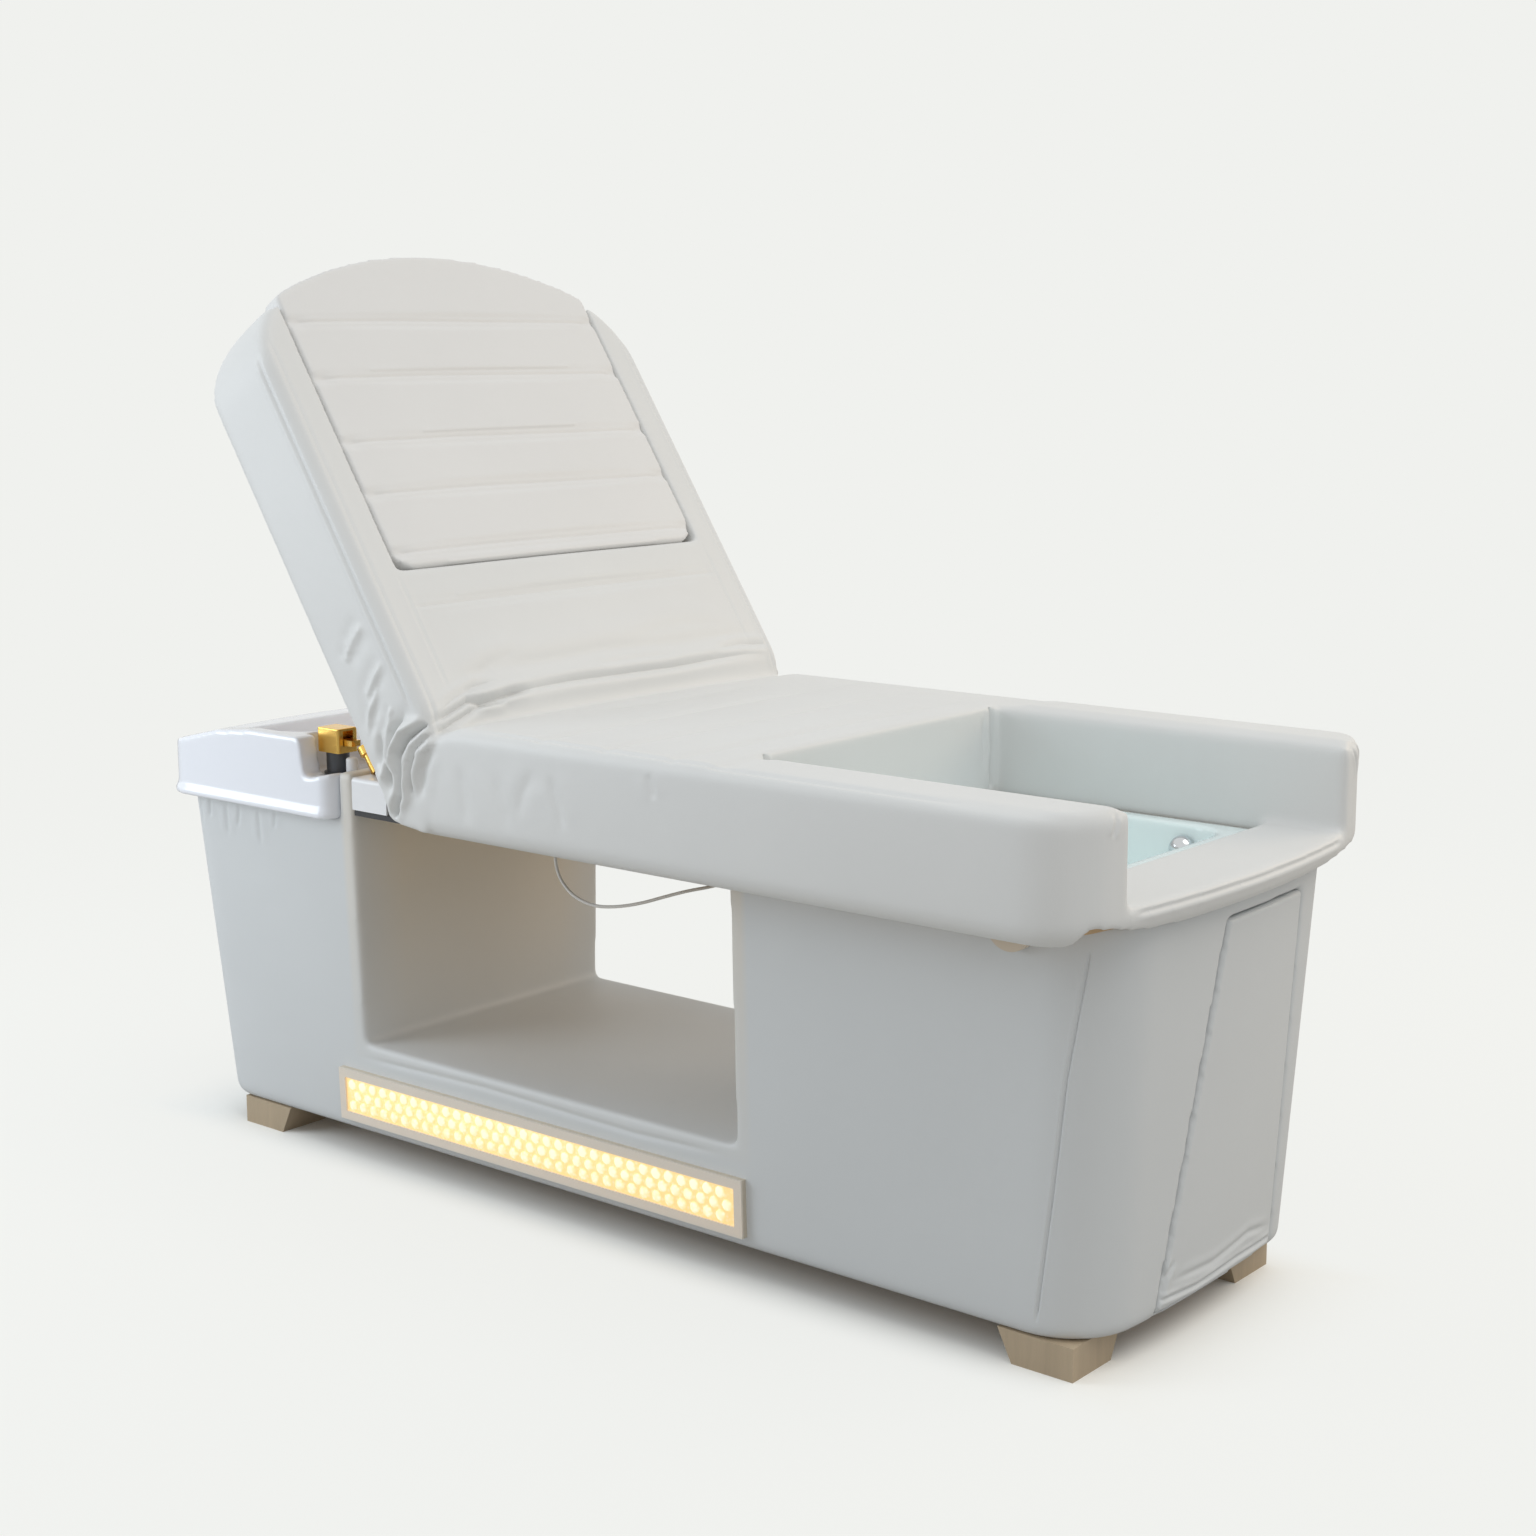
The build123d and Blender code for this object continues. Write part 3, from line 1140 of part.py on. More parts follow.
def build_backrest():
    """Boards, tubes, hinge arms, drive arms, cushions and insert supports."""
    form = back_form() & back_lean(FACE_GAP)
    bolster_inner = SIDE_BOARD_INNER + SIDE_BOARD_THICK
    profile = extrude(bolster_profile(), BACK_HALF_WIDTH + OVERRUN, both=True)
    low = BACK_FACE - BOLSTER_DEPTH
    outer_zone = flat_block(-OVERRUN, BACK_LENGTH, bolster_inner, BACK_HALF_WIDTH, low, BACK_FACE)
    cap_zone = flat_block(
        -OVERRUN, BACK_LENGTH, SIDE_BOARD_INNER, BACK_HALF_WIDTH, BACK_BOARD_TOP, BACK_FACE
    )
    bolster = form & profile & (outer_zone + cap_zone)
    save(raised(bolster), "far_bolster")
    save(raised(mirror(bolster, about=Plane.XZ)), "near_bolster")

    board = flat_block(
        SIDE_BOARD_START, SIDE_BOARD_END, SIDE_BOARD_INNER, bolster_inner, SIDE_BOARD_LOW, BACK_BOARD_TOP
    )

    centre_half = SIDE_BOARD_INNER - SOFT_GAP
    crowned = crowned_block(
        -INSERT_START + INSERT_GAP, 0, centre_half, BACK_BOARD_TOP, BACK_FACE + BACK_CROWN, BACK_CROWN
    )
    centre = crowned & lean_only(FACE_GAP)
    save(raised(centre - back_channel(BACK_CHANNEL_AT)), "back_cushion")
    save(
        raised(
            flat_block(
                LOW_TUBE_START,
                INSERT_START - INSERT_GAP,
                -SIDE_BOARD_INNER,
                SIDE_BOARD_INNER,
                BACK_BOARD_LEVEL,
                BACK_BOARD_TOP,
            )
        ),
        "back_board",
    )
    save(raised(Compound([back_tube(LOW_TUBE_START), back_tube(HIGH_TUBE_START)])), "back_tubes")
    save(raised(both_sides(hinge_arm())), "back_hinge_arms")
    save(raised(both_sides(drive_arm())), "drive_arms")
    support = flat_block(
        INSERT_START,
        SIDE_BOARD_END,
        SIDE_BOARD_INNER - SUPPORT_WIDTH,
        SIDE_BOARD_INNER,
        BACK_BOARD_LEVEL - SUPPORT_THICK,
        BACK_BOARD_LEVEL,
    )
    save(raised(Compound([both_sides(board), both_sides(support)])), "back_side_boards")


def lean_only(gap):
    """The backrest's side of the meeting plane, above the pivot."""
    rise = BACK_FACE + 2 * OVERRUN
    start = gap / math.cos(math.radians(HALF_SWING))
    outline = Polyline(
        (-start - rise * BACK_LEAN, rise), (-start, 0), (-BACK_LENGTH, 0), (-BACK_LENGTH, rise), close=True
    )
    return extrude(Plane.XZ * make_face(outline), BACK_HALF_WIDTH, both=True)


def back_tube(a):
    """A square tube across the backrest, under its board."""
    top = BACK_BOARD_LEVEL
    half = SIDE_BOARD_INNER
    tube = flat_block(a, a + TUBE_SIDE, -half, half, top - TUBE_SIDE, top)
    hollow = flat_block(
        a + RAIL_WALL,
        a + TUBE_SIDE - RAIL_WALL,
        -half - OVERRUN,
        half + OVERRUN,
        top - TUBE_SIDE + RAIL_WALL,
        top - RAIL_WALL,
    )
    return tube - hollow


def hinge_arm():
    """The far hinge arm from the pivot to the underside of the low tube."""
    y0 = RAIL_OUTER_Y + HINGE_PLATE + HINGE_PLATE_GAP
    y1 = y0 + HINGE_PLATE
    tube_low = BACK_BOARD_LEVEL - TUBE_SIDE
    boss = rod_y(HINGE_BOSS, y0, y1, 0, 0)
    half = HINGE_WEB
    outline = Polyline(
        (-half, -half / 2),
        (half, half / 2),
        (-LOW_TUBE_START, tube_low),
        (-LOW_TUBE_START - TUBE_SIDE, tube_low),
        close=True,
    )
    web = extrude(Plane.XZ * make_face(outline), BACK_HALF_WIDTH, both=True)
    web = web & flat_block(-BACK_LENGTH, BACK_LENGTH, y0, y1, -BACK_LENGTH, BACK_LENGTH)
    bore = rod_y(HINGE_PIN_RADIUS + HINGE_FIT, y0 - OVERRUN, y1 + OVERRUN, 0, 0)
    return boss + web - bore


def drive_arm():
    """The far drive arm: a plate from the low tube to the actuator's slotted end."""
    y0 = ARM_PLATE_INNER
    y1 = y0 + ARM_PLATE
    tube_low = BACK_BOARD_LEVEL - TUBE_SIDE
    half = ARM_WIDTH / 2
    down = (math.sin(math.radians(HALF_SWING)), -math.cos(math.radians(HALF_SWING)))
    side = (-down[1], down[0])
    end = LEVER_RADIUS + CROSS_PIN_RADIUS
    outline = Polyline(
        (-LOW_TUBE_START - TUBE_SIDE, tube_low),
        (-half * side[0], -half * side[1]),
        (end * down[0] - half * side[0], end * down[1] - half * side[1]),
        (end * down[0] + half * side[0], end * down[1] + half * side[1]),
        (half * side[0], half * side[1]),
        (-LOW_TUBE_START, tube_low),
        close=True,
    )
    face = make_face(outline)
    tip = Pos(end * down[0], end * down[1]) * Circle(half)
    slot_mid = (LEVER_DROP + LEVER_RADIUS) / 2
    slot_run = LEVER_RADIUS - LEVER_DROP + 2 * FACE_GAP
    slot_half = CROSS_PIN_RADIUS + SLOT_CLEARANCE
    slot = Pos(slot_mid * down[0], slot_mid * down[1]) * Rot(0, 0, HALF_SWING) * Rectangle(
        2 * slot_half, slot_run + 2 * slot_half
    )
    slot = fillet(slot.vertices(), slot_half - RUN_GAP)
    plate = extrude(Plane.XZ * (face + tip - slot), -ARM_PLATE)
    return Pos(0, y0, 0) * plate


def build_insert():
    """The lift-out cushion over the basin, on its own board."""
    plan = back_plan()
    start = INSERT_START
    half = INSERT_HALF_WIDTH
    zone = Pos(-(start + BACK_LENGTH) / 2, 0) * Rectangle(BACK_LENGTH - start, 2 * half)
    zone = fillet(zone.vertices().group_by(Axis.X)[-1], INSERT_CORNER)
    face = plan & zone
    top = BACK_FACE + BACK_CROWN
    solid = extrude(Pos(0, 0, BACK_BOARD_TOP) * face, top - BACK_BOARD_TOP + OVERRUN)
    crowned = crowned_block(-BACK_LENGTH - OVERRUN, 0, half + OVERRUN, BACK_BOARD_TOP, top, BACK_CROWN)
    cushion = solid & crowned
    for share in INSERT_CHANNEL_SHARES:
        cushion = cushion - back_channel(INSERT_START + share * (BACK_LENGTH - INSERT_START))
    save(raised(cushion), "insert_cushion")
    board = offset(face, -INSERT_BOARD_INSET)
    board = board & (Pos(-(start + SIDE_BOARD_END) / 2, 0) * Rectangle(BACK_LENGTH, 2 * half))
    save(raised(extrude(Pos(0, 0, BACK_BOARD_LEVEL) * board, INSERT_BOARD_THICK)), "insert_board")


def build_actuator():
    """Actuator housing with motor, its rod, rear mount and front saddle."""
    z = ACTUATOR_Z
    tube = rod_x(HOUSING_RADIUS, HOUSING_X0, HOUSING_X1 - GEARCASE_LENGTH, 0, z)
    bore = rod_x(ROD_RADIUS + ROD_FIT, HOUSING_X0 - OVERRUN, HOUSING_BORE_END, 0, z)
    gearcase = block(
        HOUSING_X1 - GEARCASE_LENGTH,
        HOUSING_X1,
        -GEARCASE_WIDTH / 2,
        GEARCASE_WIDTH / 2,
        z - MOTOR_DROP - GEARCASE_BELOW_MOTOR,
        z + HOUSING_RADIUS + GEARCASE_ABOVE_TUBE,
    )
    gearcase = fillet(gearcase.edges().filter_by(Axis.X), CAP_ROUND)
    motor_x1 = HOUSING_X1 - GEARCASE_LENGTH
    motor = rod_x(MOTOR_RADIUS, motor_x1 - MOTOR_LENGTH, motor_x1, 0, z - MOTOR_DROP)
    lug = block(HOUSING_X1, HOUSING_X1 + LUG_LENGTH, -LUG_WIDTH / 2, LUG_WIDTH / 2, z - LUG_WIDTH / 2,
                z + LUG_WIDTH / 2)
    lug_x = HOUSING_X1 + LUG_LENGTH / 2
    eye = rod_y(LUG_PIN_RADIUS, -LUG_WIDTH, LUG_WIDTH, lug_x, z)
    gland = rod_y(GLAND_RADIUS, MOTOR_GLAND_Y, 0, MOTOR_GLAND_X, MOTOR_GLAND_Z)
    save(tube + gearcase + motor + gland + lug - bore - eye, "actuator_housing")

    pin_x = PIVOT_X - LEVER_THROW
    rod = rod_x(ROD_RADIUS, pin_x, pin_x + ROD_LENGTH, 0, z)
    eye_block = rod_y(ROD_EYE_RADIUS, -ROD_EYE_WIDTH / 2, ROD_EYE_WIDTH / 2, pin_x, z)
    rod = rod & block(pin_x, pin_x + ROD_LENGTH, -ROD_EYE_WIDTH, ROD_EYE_WIDTH, 0, PIVOT_Z)
    neck_cut = block(pin_x - ROD_RADIUS, pin_x + ROD_EYE_RADIUS + ARM_WIDTH, ROD_EYE_WIDTH / 2,
                     ROD_EYE_WIDTH, 0, PIVOT_Z)
    rod = rod - neck_cut - mirror(neck_cut, about=Plane.XZ)
    pin_y = ARM_PLATE_INNER + ARM_PLATE + CROSS_PIN_RADIUS
    pin = rod_y(CROSS_PIN_RADIUS, -pin_y, pin_y, pin_x, z)
    save(rod + eye_block + pin, "actuator_rod")

    ears = []
    for side in (-1, 1):
        inner = side * (LUG_WIDTH / 2 + RUN_GAP)
        outer = side * (LUG_WIDTH / 2 + RUN_GAP + EAR_THICK)
        ear = block(lug_x - LUG_LENGTH / 2, CROSS_TUBE_X, min(inner, outer), max(inner, outer),
                    z - LUG_WIDTH, CARCASS_TOP)
        ears.append(ear - rod_y(LUG_PIN_RADIUS, -GEARCASE_WIDTH, GEARCASE_WIDTH, lug_x, z))
    pin_end = LUG_WIDTH / 2 + RUN_GAP + EAR_THICK
    rear_pin = rod_y(LUG_PIN_RADIUS, -pin_end, pin_end, lug_x, z)
    save(Compound(ears + [rear_pin]), "actuator_rear_mount")

    ring = rod_x(HOUSING_RADIUS + SADDLE_WALL, SADDLE_X, SADDLE_X + SADDLE_WIDTH, 0, z)
    post = block(
        SADDLE_X, SADDLE_X + SADDLE_WIDTH, -HOUSING_RADIUS - SADDLE_WALL, HOUSING_RADIUS + SADDLE_WALL,
        z, CARCASS_TOP,
    )
    hole = rod_x(HOUSING_RADIUS, SADDLE_X - OVERRUN, SADDLE_X + SADDLE_WIDTH + OVERRUN, 0, z)
    save(ring + post - hole, "actuator_saddle")


CABLE_ROUTE = [
    (-159.0, -150.0, 552.0),
    (-159.0, -150.0, 520.0),
    (-152.0, -149.0, 488.0),
    (-126.0, -147.0, 463.0),
    (-88.0, -143.0, 452.0),
    (-46.0, -138.0, 456.0),
    (-4.0, -128.0, 466.0),
    (34.0, -113.0, 480.0),
    (64.0, -99.0, 490.0),
    (85.0, -80.0, 494.5),
    (93.0, -58.0, 497.0),
    (93.0, -38.0, 497.0),
]


def corner_radii(points):
    """The largest even arc for each corner of a cord's route."""
    radii = []
    for before, here, after in zip(points, points[1:], points[2:]):
        first = Vector(*here) - Vector(*before)
        second = Vector(*after) - Vector(*here)
        shorter = min(first.length, second.length)
        turn = math.radians(first.get_angle(second))
        radii.append(CORNER_SHARE * shorter / math.tan(turn / 2))
    return radii


def build_control():
    """Control box, its gland and the looped lead to the motor."""
    y0 = CONTROL_Y - CONTROL_WIDTH / 2
    box = block(
        CONTROL_X0, CONTROL_X0 + CONTROL_LENGTH, y0, y0 + CONTROL_WIDTH, CONTROL_BOTTOM, CARCASS_TOP
    )
    box = fillet(box.edges().filter_by(Axis.Z), CONTROL_ROUND)
    gland = rod_z(GLAND_RADIUS, CONTROL_BOTTOM - GLAND_LENGTH, CONTROL_BOTTOM, GLAND_ONE_X, CONTROL_Y)
    save(box + gland, "control_box")
    path = FilletPolyline(*CABLE_ROUTE, radius=corner_radii(CABLE_ROUTE))
    start = Vector(*CABLE_ROUTE[0])
    aim = Vector(*CABLE_ROUTE[1]) - start
    save(sweep(Plane(origin=start, z_dir=aim) * Circle(CABLE_RADIUS), path=path), "loop_cable")


build_base()
build_legs()
build_seat_frame()
build_pad()
build_foot_basin()
build_head_basin()
build_bridge()
build_tap()
build_light()
build_backrest()
build_insert()
build_actuator()
build_control()
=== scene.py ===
import logging
import math
from dataclasses import dataclass
from enum import Enum

import bmesh
import bpy
import numpy as np
from mathutils import Matrix, Vector


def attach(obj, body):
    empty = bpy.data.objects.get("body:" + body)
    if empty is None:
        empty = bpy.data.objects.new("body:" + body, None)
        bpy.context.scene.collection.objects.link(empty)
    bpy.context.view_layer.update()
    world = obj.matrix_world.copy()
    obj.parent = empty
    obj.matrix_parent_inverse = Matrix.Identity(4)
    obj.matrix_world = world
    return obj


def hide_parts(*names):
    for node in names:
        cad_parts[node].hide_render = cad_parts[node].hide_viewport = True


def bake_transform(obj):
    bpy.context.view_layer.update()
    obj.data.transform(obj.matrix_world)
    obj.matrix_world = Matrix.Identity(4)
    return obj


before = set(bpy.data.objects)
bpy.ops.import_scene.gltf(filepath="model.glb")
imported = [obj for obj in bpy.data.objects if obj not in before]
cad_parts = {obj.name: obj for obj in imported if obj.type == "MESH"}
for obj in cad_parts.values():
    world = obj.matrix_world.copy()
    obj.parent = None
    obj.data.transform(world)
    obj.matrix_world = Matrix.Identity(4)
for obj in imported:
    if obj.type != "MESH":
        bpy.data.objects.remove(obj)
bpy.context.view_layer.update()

log = logging.getLogger("washing_bed")

Array = np.ndarray
Face = tuple[int, ...]
Form = tuple[Array, list[Face]]
Node = bpy.types.Node
Pair = tuple[float, float]
Point = tuple[float, float, float]
Shade = tuple[float, float, float, float]
Socket = bpy.types.NodeSocket


class Body(str, Enum):
    """The bodies that pieces ride on."""

    BASE = "base"
    BACKREST = "backrest"
    INSERT = "insert"
    DOOR = "service_door"


class Way(Enum):
    """The directions in which the bed is measured."""

    FOOT = "towards the foot end"
    FAR = "towards the far side"
    NEAR = "towards the near side"
    UP = "up from the floor"
    ALONG = "along the back, from its hinge"
    OUT = "out of the back's face, from its hinge"


def leaning(angle: float) -> tuple[Array, Array]:
    """The directions along a board that leans at an angle, and out of its face."""
    return np.array([-math.cos(angle), 0.0, math.sin(angle)]), np.array([math.sin(angle), 0.0, math.cos(angle)])


PIVOT = np.array([-0.2185, 0.0, 0.627])
RECLINE = math.radians(57.2)
ALONG, OUTWARD = leaning(RECLINE)
ACROSS, UPWARD = leaning(RECLINE / 2)
FOOTWARD, FARWARD, UP = np.eye(3)
MM = 0.001
WAYS: dict[Way, Array] = {
    Way.FOOT: FOOTWARD, Way.FAR: FARWARD, Way.NEAR: -FARWARD, Way.UP: UP, Way.ALONG: ALONG, Way.OUT: OUTWARD,
}


def measured(points: Array, way: Way) -> Array:
    """How far points lie in a direction, from the hinge for the back's own directions."""
    return (points - PIVOT if way in (Way.ALONG, Way.OUT) else points) @ WAYS[way]


def tone(red: float, green: float, blue: float) -> Shade:
    """Turn a screen colour into the linear colour a shader takes.

    Args:
        red: Red from 0 to 255.
        green: Green from 0 to 255.
        blue: Blue from 0 to 255.

    Returns:
        The linear colour with a full alpha.
    """

    def linear(value: float) -> float:
        """One channel, made linear."""
        share = value / 255.0
        return share / 12.92 if share <= 0.04045 else ((share + 0.055) / 1.055) ** 2.4

    return linear(red), linear(green), linear(blue), 1.0


def ease(values: Array, start: float, full: float) -> Array:
    """Rise smoothly from 0 at the start to 1 at the full value, which may be the lower one."""
    share = np.clip((values - start) / (full - start), 0.0, 1.0)
    return share * share * (3.0 - 2.0 * share)


def bell(values: Array, middle: float, width: float) -> Array:
    """Fall off softly from 1 at the middle."""
    return np.exp(-(((values - middle) / width) ** 2))


def mound(values: Array, middle: float, reach: float) -> Array:
    """Fall off roundly from 1 at the middle to 0 at the reach."""
    return np.clip(1.0 - ((values - middle) / reach) ** 2, 0.0, 1.0)


def tufts(values: Array, lines: tuple[float, ...], width: float) -> Array:
    """Rise to 1 between stitched lines and sink to 0 on them."""
    return 1.0 - sum(bell(values, line, width) for line in lines)


# ---------------------------------------------------------------- shader wiring


class Wiring:
    """Adds nodes to one node tree and joins their sockets."""

    def __init__(self, tree: bpy.types.NodeTree) -> None:
        """Keep the tree that is built."""
        self.tree = tree

    def put(self, node: Node, name: str | int, value: object) -> None:
        """Set an input of a node, or link a socket to it.

        Args:
            node: The node.
            name: The input's name or number.
            value: A plain value or a socket.
        """
        if isinstance(value, Socket):
            self.tree.links.new(value, node.inputs[name])
        else:
            node.inputs[name].default_value = value

    def add(self, kind: str, **inputs: object) -> Node:
        """Add a node.

        Args:
            kind: Blender's name of the node type, without ShaderNode.
            inputs: Inputs, with spaces as underscores, or settings of the node.

        Returns:
            The new node.
        """
        node = self.tree.nodes.new("ShaderNode" + kind)
        for name, value in inputs.items():
            if hasattr(node, name):
                setattr(node, name, value)
            else:
                self.put(node, name.replace("_", " "), value)
        return node

    def joined(self, kind: str, inputs: dict[int, object], result: int = 0, **settings: object) -> Socket:
        """Add a node whose inputs are known by number.

        Args:
            kind: Blender's name of the node type, without ShaderNode.
            inputs: A value or a socket for each input's number.
            result: The number of the output that is wanted.
            settings: Settings of the node.

        Returns:
            The output.
        """
        node = self.add(kind, **settings)
        for number, value in inputs.items():
            self.put(node, number, value)
        return node.outputs[result]

    def calc(self, operation: str, *values: Socket | float) -> Socket:
        """Work out values with math nodes, from the first value to the last.

        Args:
            operation: The name of the math operation.
            values: Sockets or numbers.

        Returns:
            The socket with the result.
        """
        result = values[0]
        for value in values[1:] or (0.0,):
            result = self.joined("Math", {0: result, 1: value}, operation=operation)
        return result

    def span(self, value: Socket, low: float, high: float, ends: Pair = (0.0, 1.0), kind: str = "LINEAR") -> Socket:
        """Map the values from low to high to those between two ends."""
        return self.add(
            "MapRange", interpolation_type=kind, Value=value, From_Min=low, From_Max=high, To_Min=ends[0],
            To_Max=ends[1],
        ).outputs[0]

    def ramp(self, factor: Socket, start: Shade, end: Shade, full: float = 1.0) -> Socket:
        """Run from one colour to another.

        Args:
            factor: The socket that says how far.
            start: The colour at a factor of 0.
            end: The colour at the full factor.
            full: The full factor.

        Returns:
            The socket with the colour.
        """
        node = self.add("ValToRGB", Fac=factor)
        first, last = node.color_ramp.elements
        first.color, last.color, last.position = start, end, full
        return node.outputs["Color"]

    def mix(self, share: Socket, first: Socket | Shade, second: Socket | Shade) -> Socket:
        """Mix two colours by the share of the second, on the inputs that the node keeps for colours."""
        return self.joined("Mix", {0: share, 6: first, 7: second}, result=2, data_type="RGBA")

    def fade(self, share: Socket, first: Socket, second: Socket) -> Socket:
        """Mix two shaders by the share of the second."""
        return self.joined("MixShader", {0: share, 1: first, 2: second})

    def place(self) -> Socket:
        """The place on the piece."""
        return self.add("TexCoord").outputs["Object"]

    def stretched(self, scale: Point) -> Socket:
        """The place on the piece, stretched."""
        return self.add("Mapping", Vector=self.place(), Scale=scale).outputs[0]

    def noise(self, scale: Socket | float, detail: float, at: Socket | None = None, **more: float) -> Socket:
        """Cloudy noise over the piece, or over other places."""
        at = self.place() if at is None else at
        return self.add("TexNoise", Vector=at, Scale=scale, Detail=detail, **more).outputs[0]

    def shared(self, group: bpy.types.NodeTree, **inputs: float) -> Socket:
        """Use a shared group for its first output."""
        return self.add("Group", node_tree=group, **inputs).outputs[0]


class SharedGroup(Wiring):
    """A node group that takes and gives numbers, which several finishes use."""

    def __init__(self, name: str, outputs: tuple[str, ...], **inputs: float) -> None:
        """Start the group.

        Args:
            name: The group's name.
            outputs: Its output sockets.
            inputs: Its input sockets and their usual values.
        """
        super().__init__(bpy.data.node_groups.new(name, "ShaderNodeTree"))
        number = "NodeSocketFloat"
        for label, value in inputs.items():
            self.tree.interface.new_socket(label, in_out="INPUT", socket_type=number).default_value = value
        for label in outputs:
            self.tree.interface.new_socket(label, in_out="OUTPUT", socket_type=number)
        self.taken = self.tree.nodes.new("NodeGroupInput").outputs
        self.given = self.tree.nodes.new("NodeGroupOutput")

    def give(self, *results: Socket) -> bpy.types.NodeTree:
        """Link the results to the group's outputs and hand it over."""
        for number, result in enumerate(results):
            self.put(self.given, number, result)
        return self.tree


def leather_grain() -> bpy.types.NodeTree:
    """Pebbled leather grain: a height, and a tone for the pores.

    Returns:
        The node group.
    """
    group = SharedGroup("leather_grain", ("Height", "Pore"), Size=0.002, Slack=0.4)
    scale = group.calc("DIVIDE", 1.0, group.taken["Size"])
    pebbles = group.add("TexVoronoi", feature="DISTANCE_TO_EDGE", Vector=group.place(), Scale=scale)
    ridge = group.span(pebbles.outputs["Distance"], 0.0, 0.16)
    fine = group.noise(group.calc("MULTIPLY", scale, 0.6), detail=3.0)
    slack = group.noise(9.0, detail=2.0, Roughness=0.45)
    grain = group.calc("ADD", group.calc("MULTIPLY", ridge, 0.5), fine)
    loose = group.calc("MULTIPLY", slack, group.calc("MULTIPLY", group.taken["Slack"], 6.0))
    return group.give(group.calc("ADD", grain, loose), ridge)


def soft_mottle() -> bpy.types.NodeTree:
    """Broad, soft unevenness of tone.

    Returns:
        The node group.
    """
    group = SharedGroup("soft_mottle", ("Factor",), Scale=4.0, Depth=0.05)
    cloud = group.calc("SUBTRACT", group.noise(group.taken["Scale"], detail=4.0), 0.5)
    return group.give(group.calc("ADD", group.calc("MULTIPLY", cloud, group.taken["Depth"], 2.0), 0.5))


def settled_dust() -> bpy.types.NodeTree:
    """Fine dust that settles on what faces up.

    Returns:
        The node group.
    """
    group = SharedGroup("settled_dust", ("Mask",), Amount=0.1)
    facing = group.add("SeparateXYZ", Vector=group.add("NewGeometry").outputs["Normal"])
    flecks = group.noise(35.0, detail=6.0, Roughness=0.7)
    up = group.span(facing.outputs["Z"], 0.5, 1.0)
    return group.give(group.calc("MULTIPLY", up, flecks, group.taken["Amount"]))


def brushed_strokes() -> bpy.types.NodeTree:
    """Long fine strokes of brushed metal."""
    group = SharedGroup("brushed_strokes", ("Height",), Scale=400.0)
    return group.give(group.noise(group.taken["Scale"], detail=2.0, at=group.stretched((0.04, 1.0, 1.0))))


def rubbed_edges() -> bpy.types.NodeTree:
    """Edges that hands and feet have rubbed.

    Returns:
        The node group.
    """
    group = SharedGroup("rubbed_edges", ("Mask",), Amount=0.3)
    edge = group.span(group.add("NewGeometry").outputs["Pointiness"], 0.52, 0.60)
    return group.give(group.calc("MULTIPLY", edge, group.noise(60.0, detail=5.0), group.taken["Amount"]))


GRAIN, MOTTLE, DUST, BRUSH, RUB = (
    leather_grain(), soft_mottle(), settled_dust(), brushed_strokes(), rubbed_edges(),
)


class Paint(Wiring):
    """The wiring of one new material, with its main shader."""

    def __init__(self, name: str, colour: Point) -> None:
        """Make the material.

        Args:
            name: The material's name.
            colour: Its screen colour.
        """
        self.made = bpy.data.materials.new(name)
        self.made.use_nodes = True
        super().__init__(self.made.node_tree)
        self.shader = self.tree.nodes["Principled BSDF"]
        self.colour = colour
        self.set(Base_Color=tone(*colour))

    def set(self, **inputs: object) -> None:
        """Set inputs of the main shader, with spaces as underscores, or link sockets to them."""
        for name, value in inputs.items():
            self.put(self.shader, name.replace("_", " "), value)

    def tint(self, factor: Socket, darker: float, lighter: float) -> None:
        """Vary the base colour.

        Args:
            factor: The socket that varies over the surface.
            darker: The share of the colour where the factor is 0.
            lighter: The share of the colour where the factor is 1.
        """
        ends = [
            tuple(min(1.0, channel * share) for channel in tone(*self.colour)[:3]) + (1.0,)
            for share in (darker, lighter)
        ]
        self.set(Base_Color=self.ramp(factor, *ends))

    def bump(self, height: Socket, depth: float, strength: float) -> None:
        """Feed a height, which stands for a depth in metres, into the main shader's normal."""
        node = self.add("Bump", Height=height, Distance=depth, Strength=strength)
        self.set(Normal=node.outputs["Normal"])


# ---------------------------------------------------------------- finishes


BUILT: dict[str, bpy.types.Material] = {}


@dataclass(frozen=True)
class Finish:
    """What every finish of this bed has: a name, the record's slot and a colour."""

    name: str
    slot: str
    colour: Point
    roughness: float = 0.5

    def material(self) -> bpy.types.Material:
        """The material, built on its first use.

        Returns:
            Blender's material for this finish.
        """
        if self.name not in BUILT:
            paint = Paint(self.name, self.colour)
            paint.set(Roughness=self.roughness)
            self.dress(paint)
            BUILT[self.name] = paint.made
        return BUILT[self.name]

    def dress(self, paint: Paint) -> None:
        """Give the material this finish's own detail."""


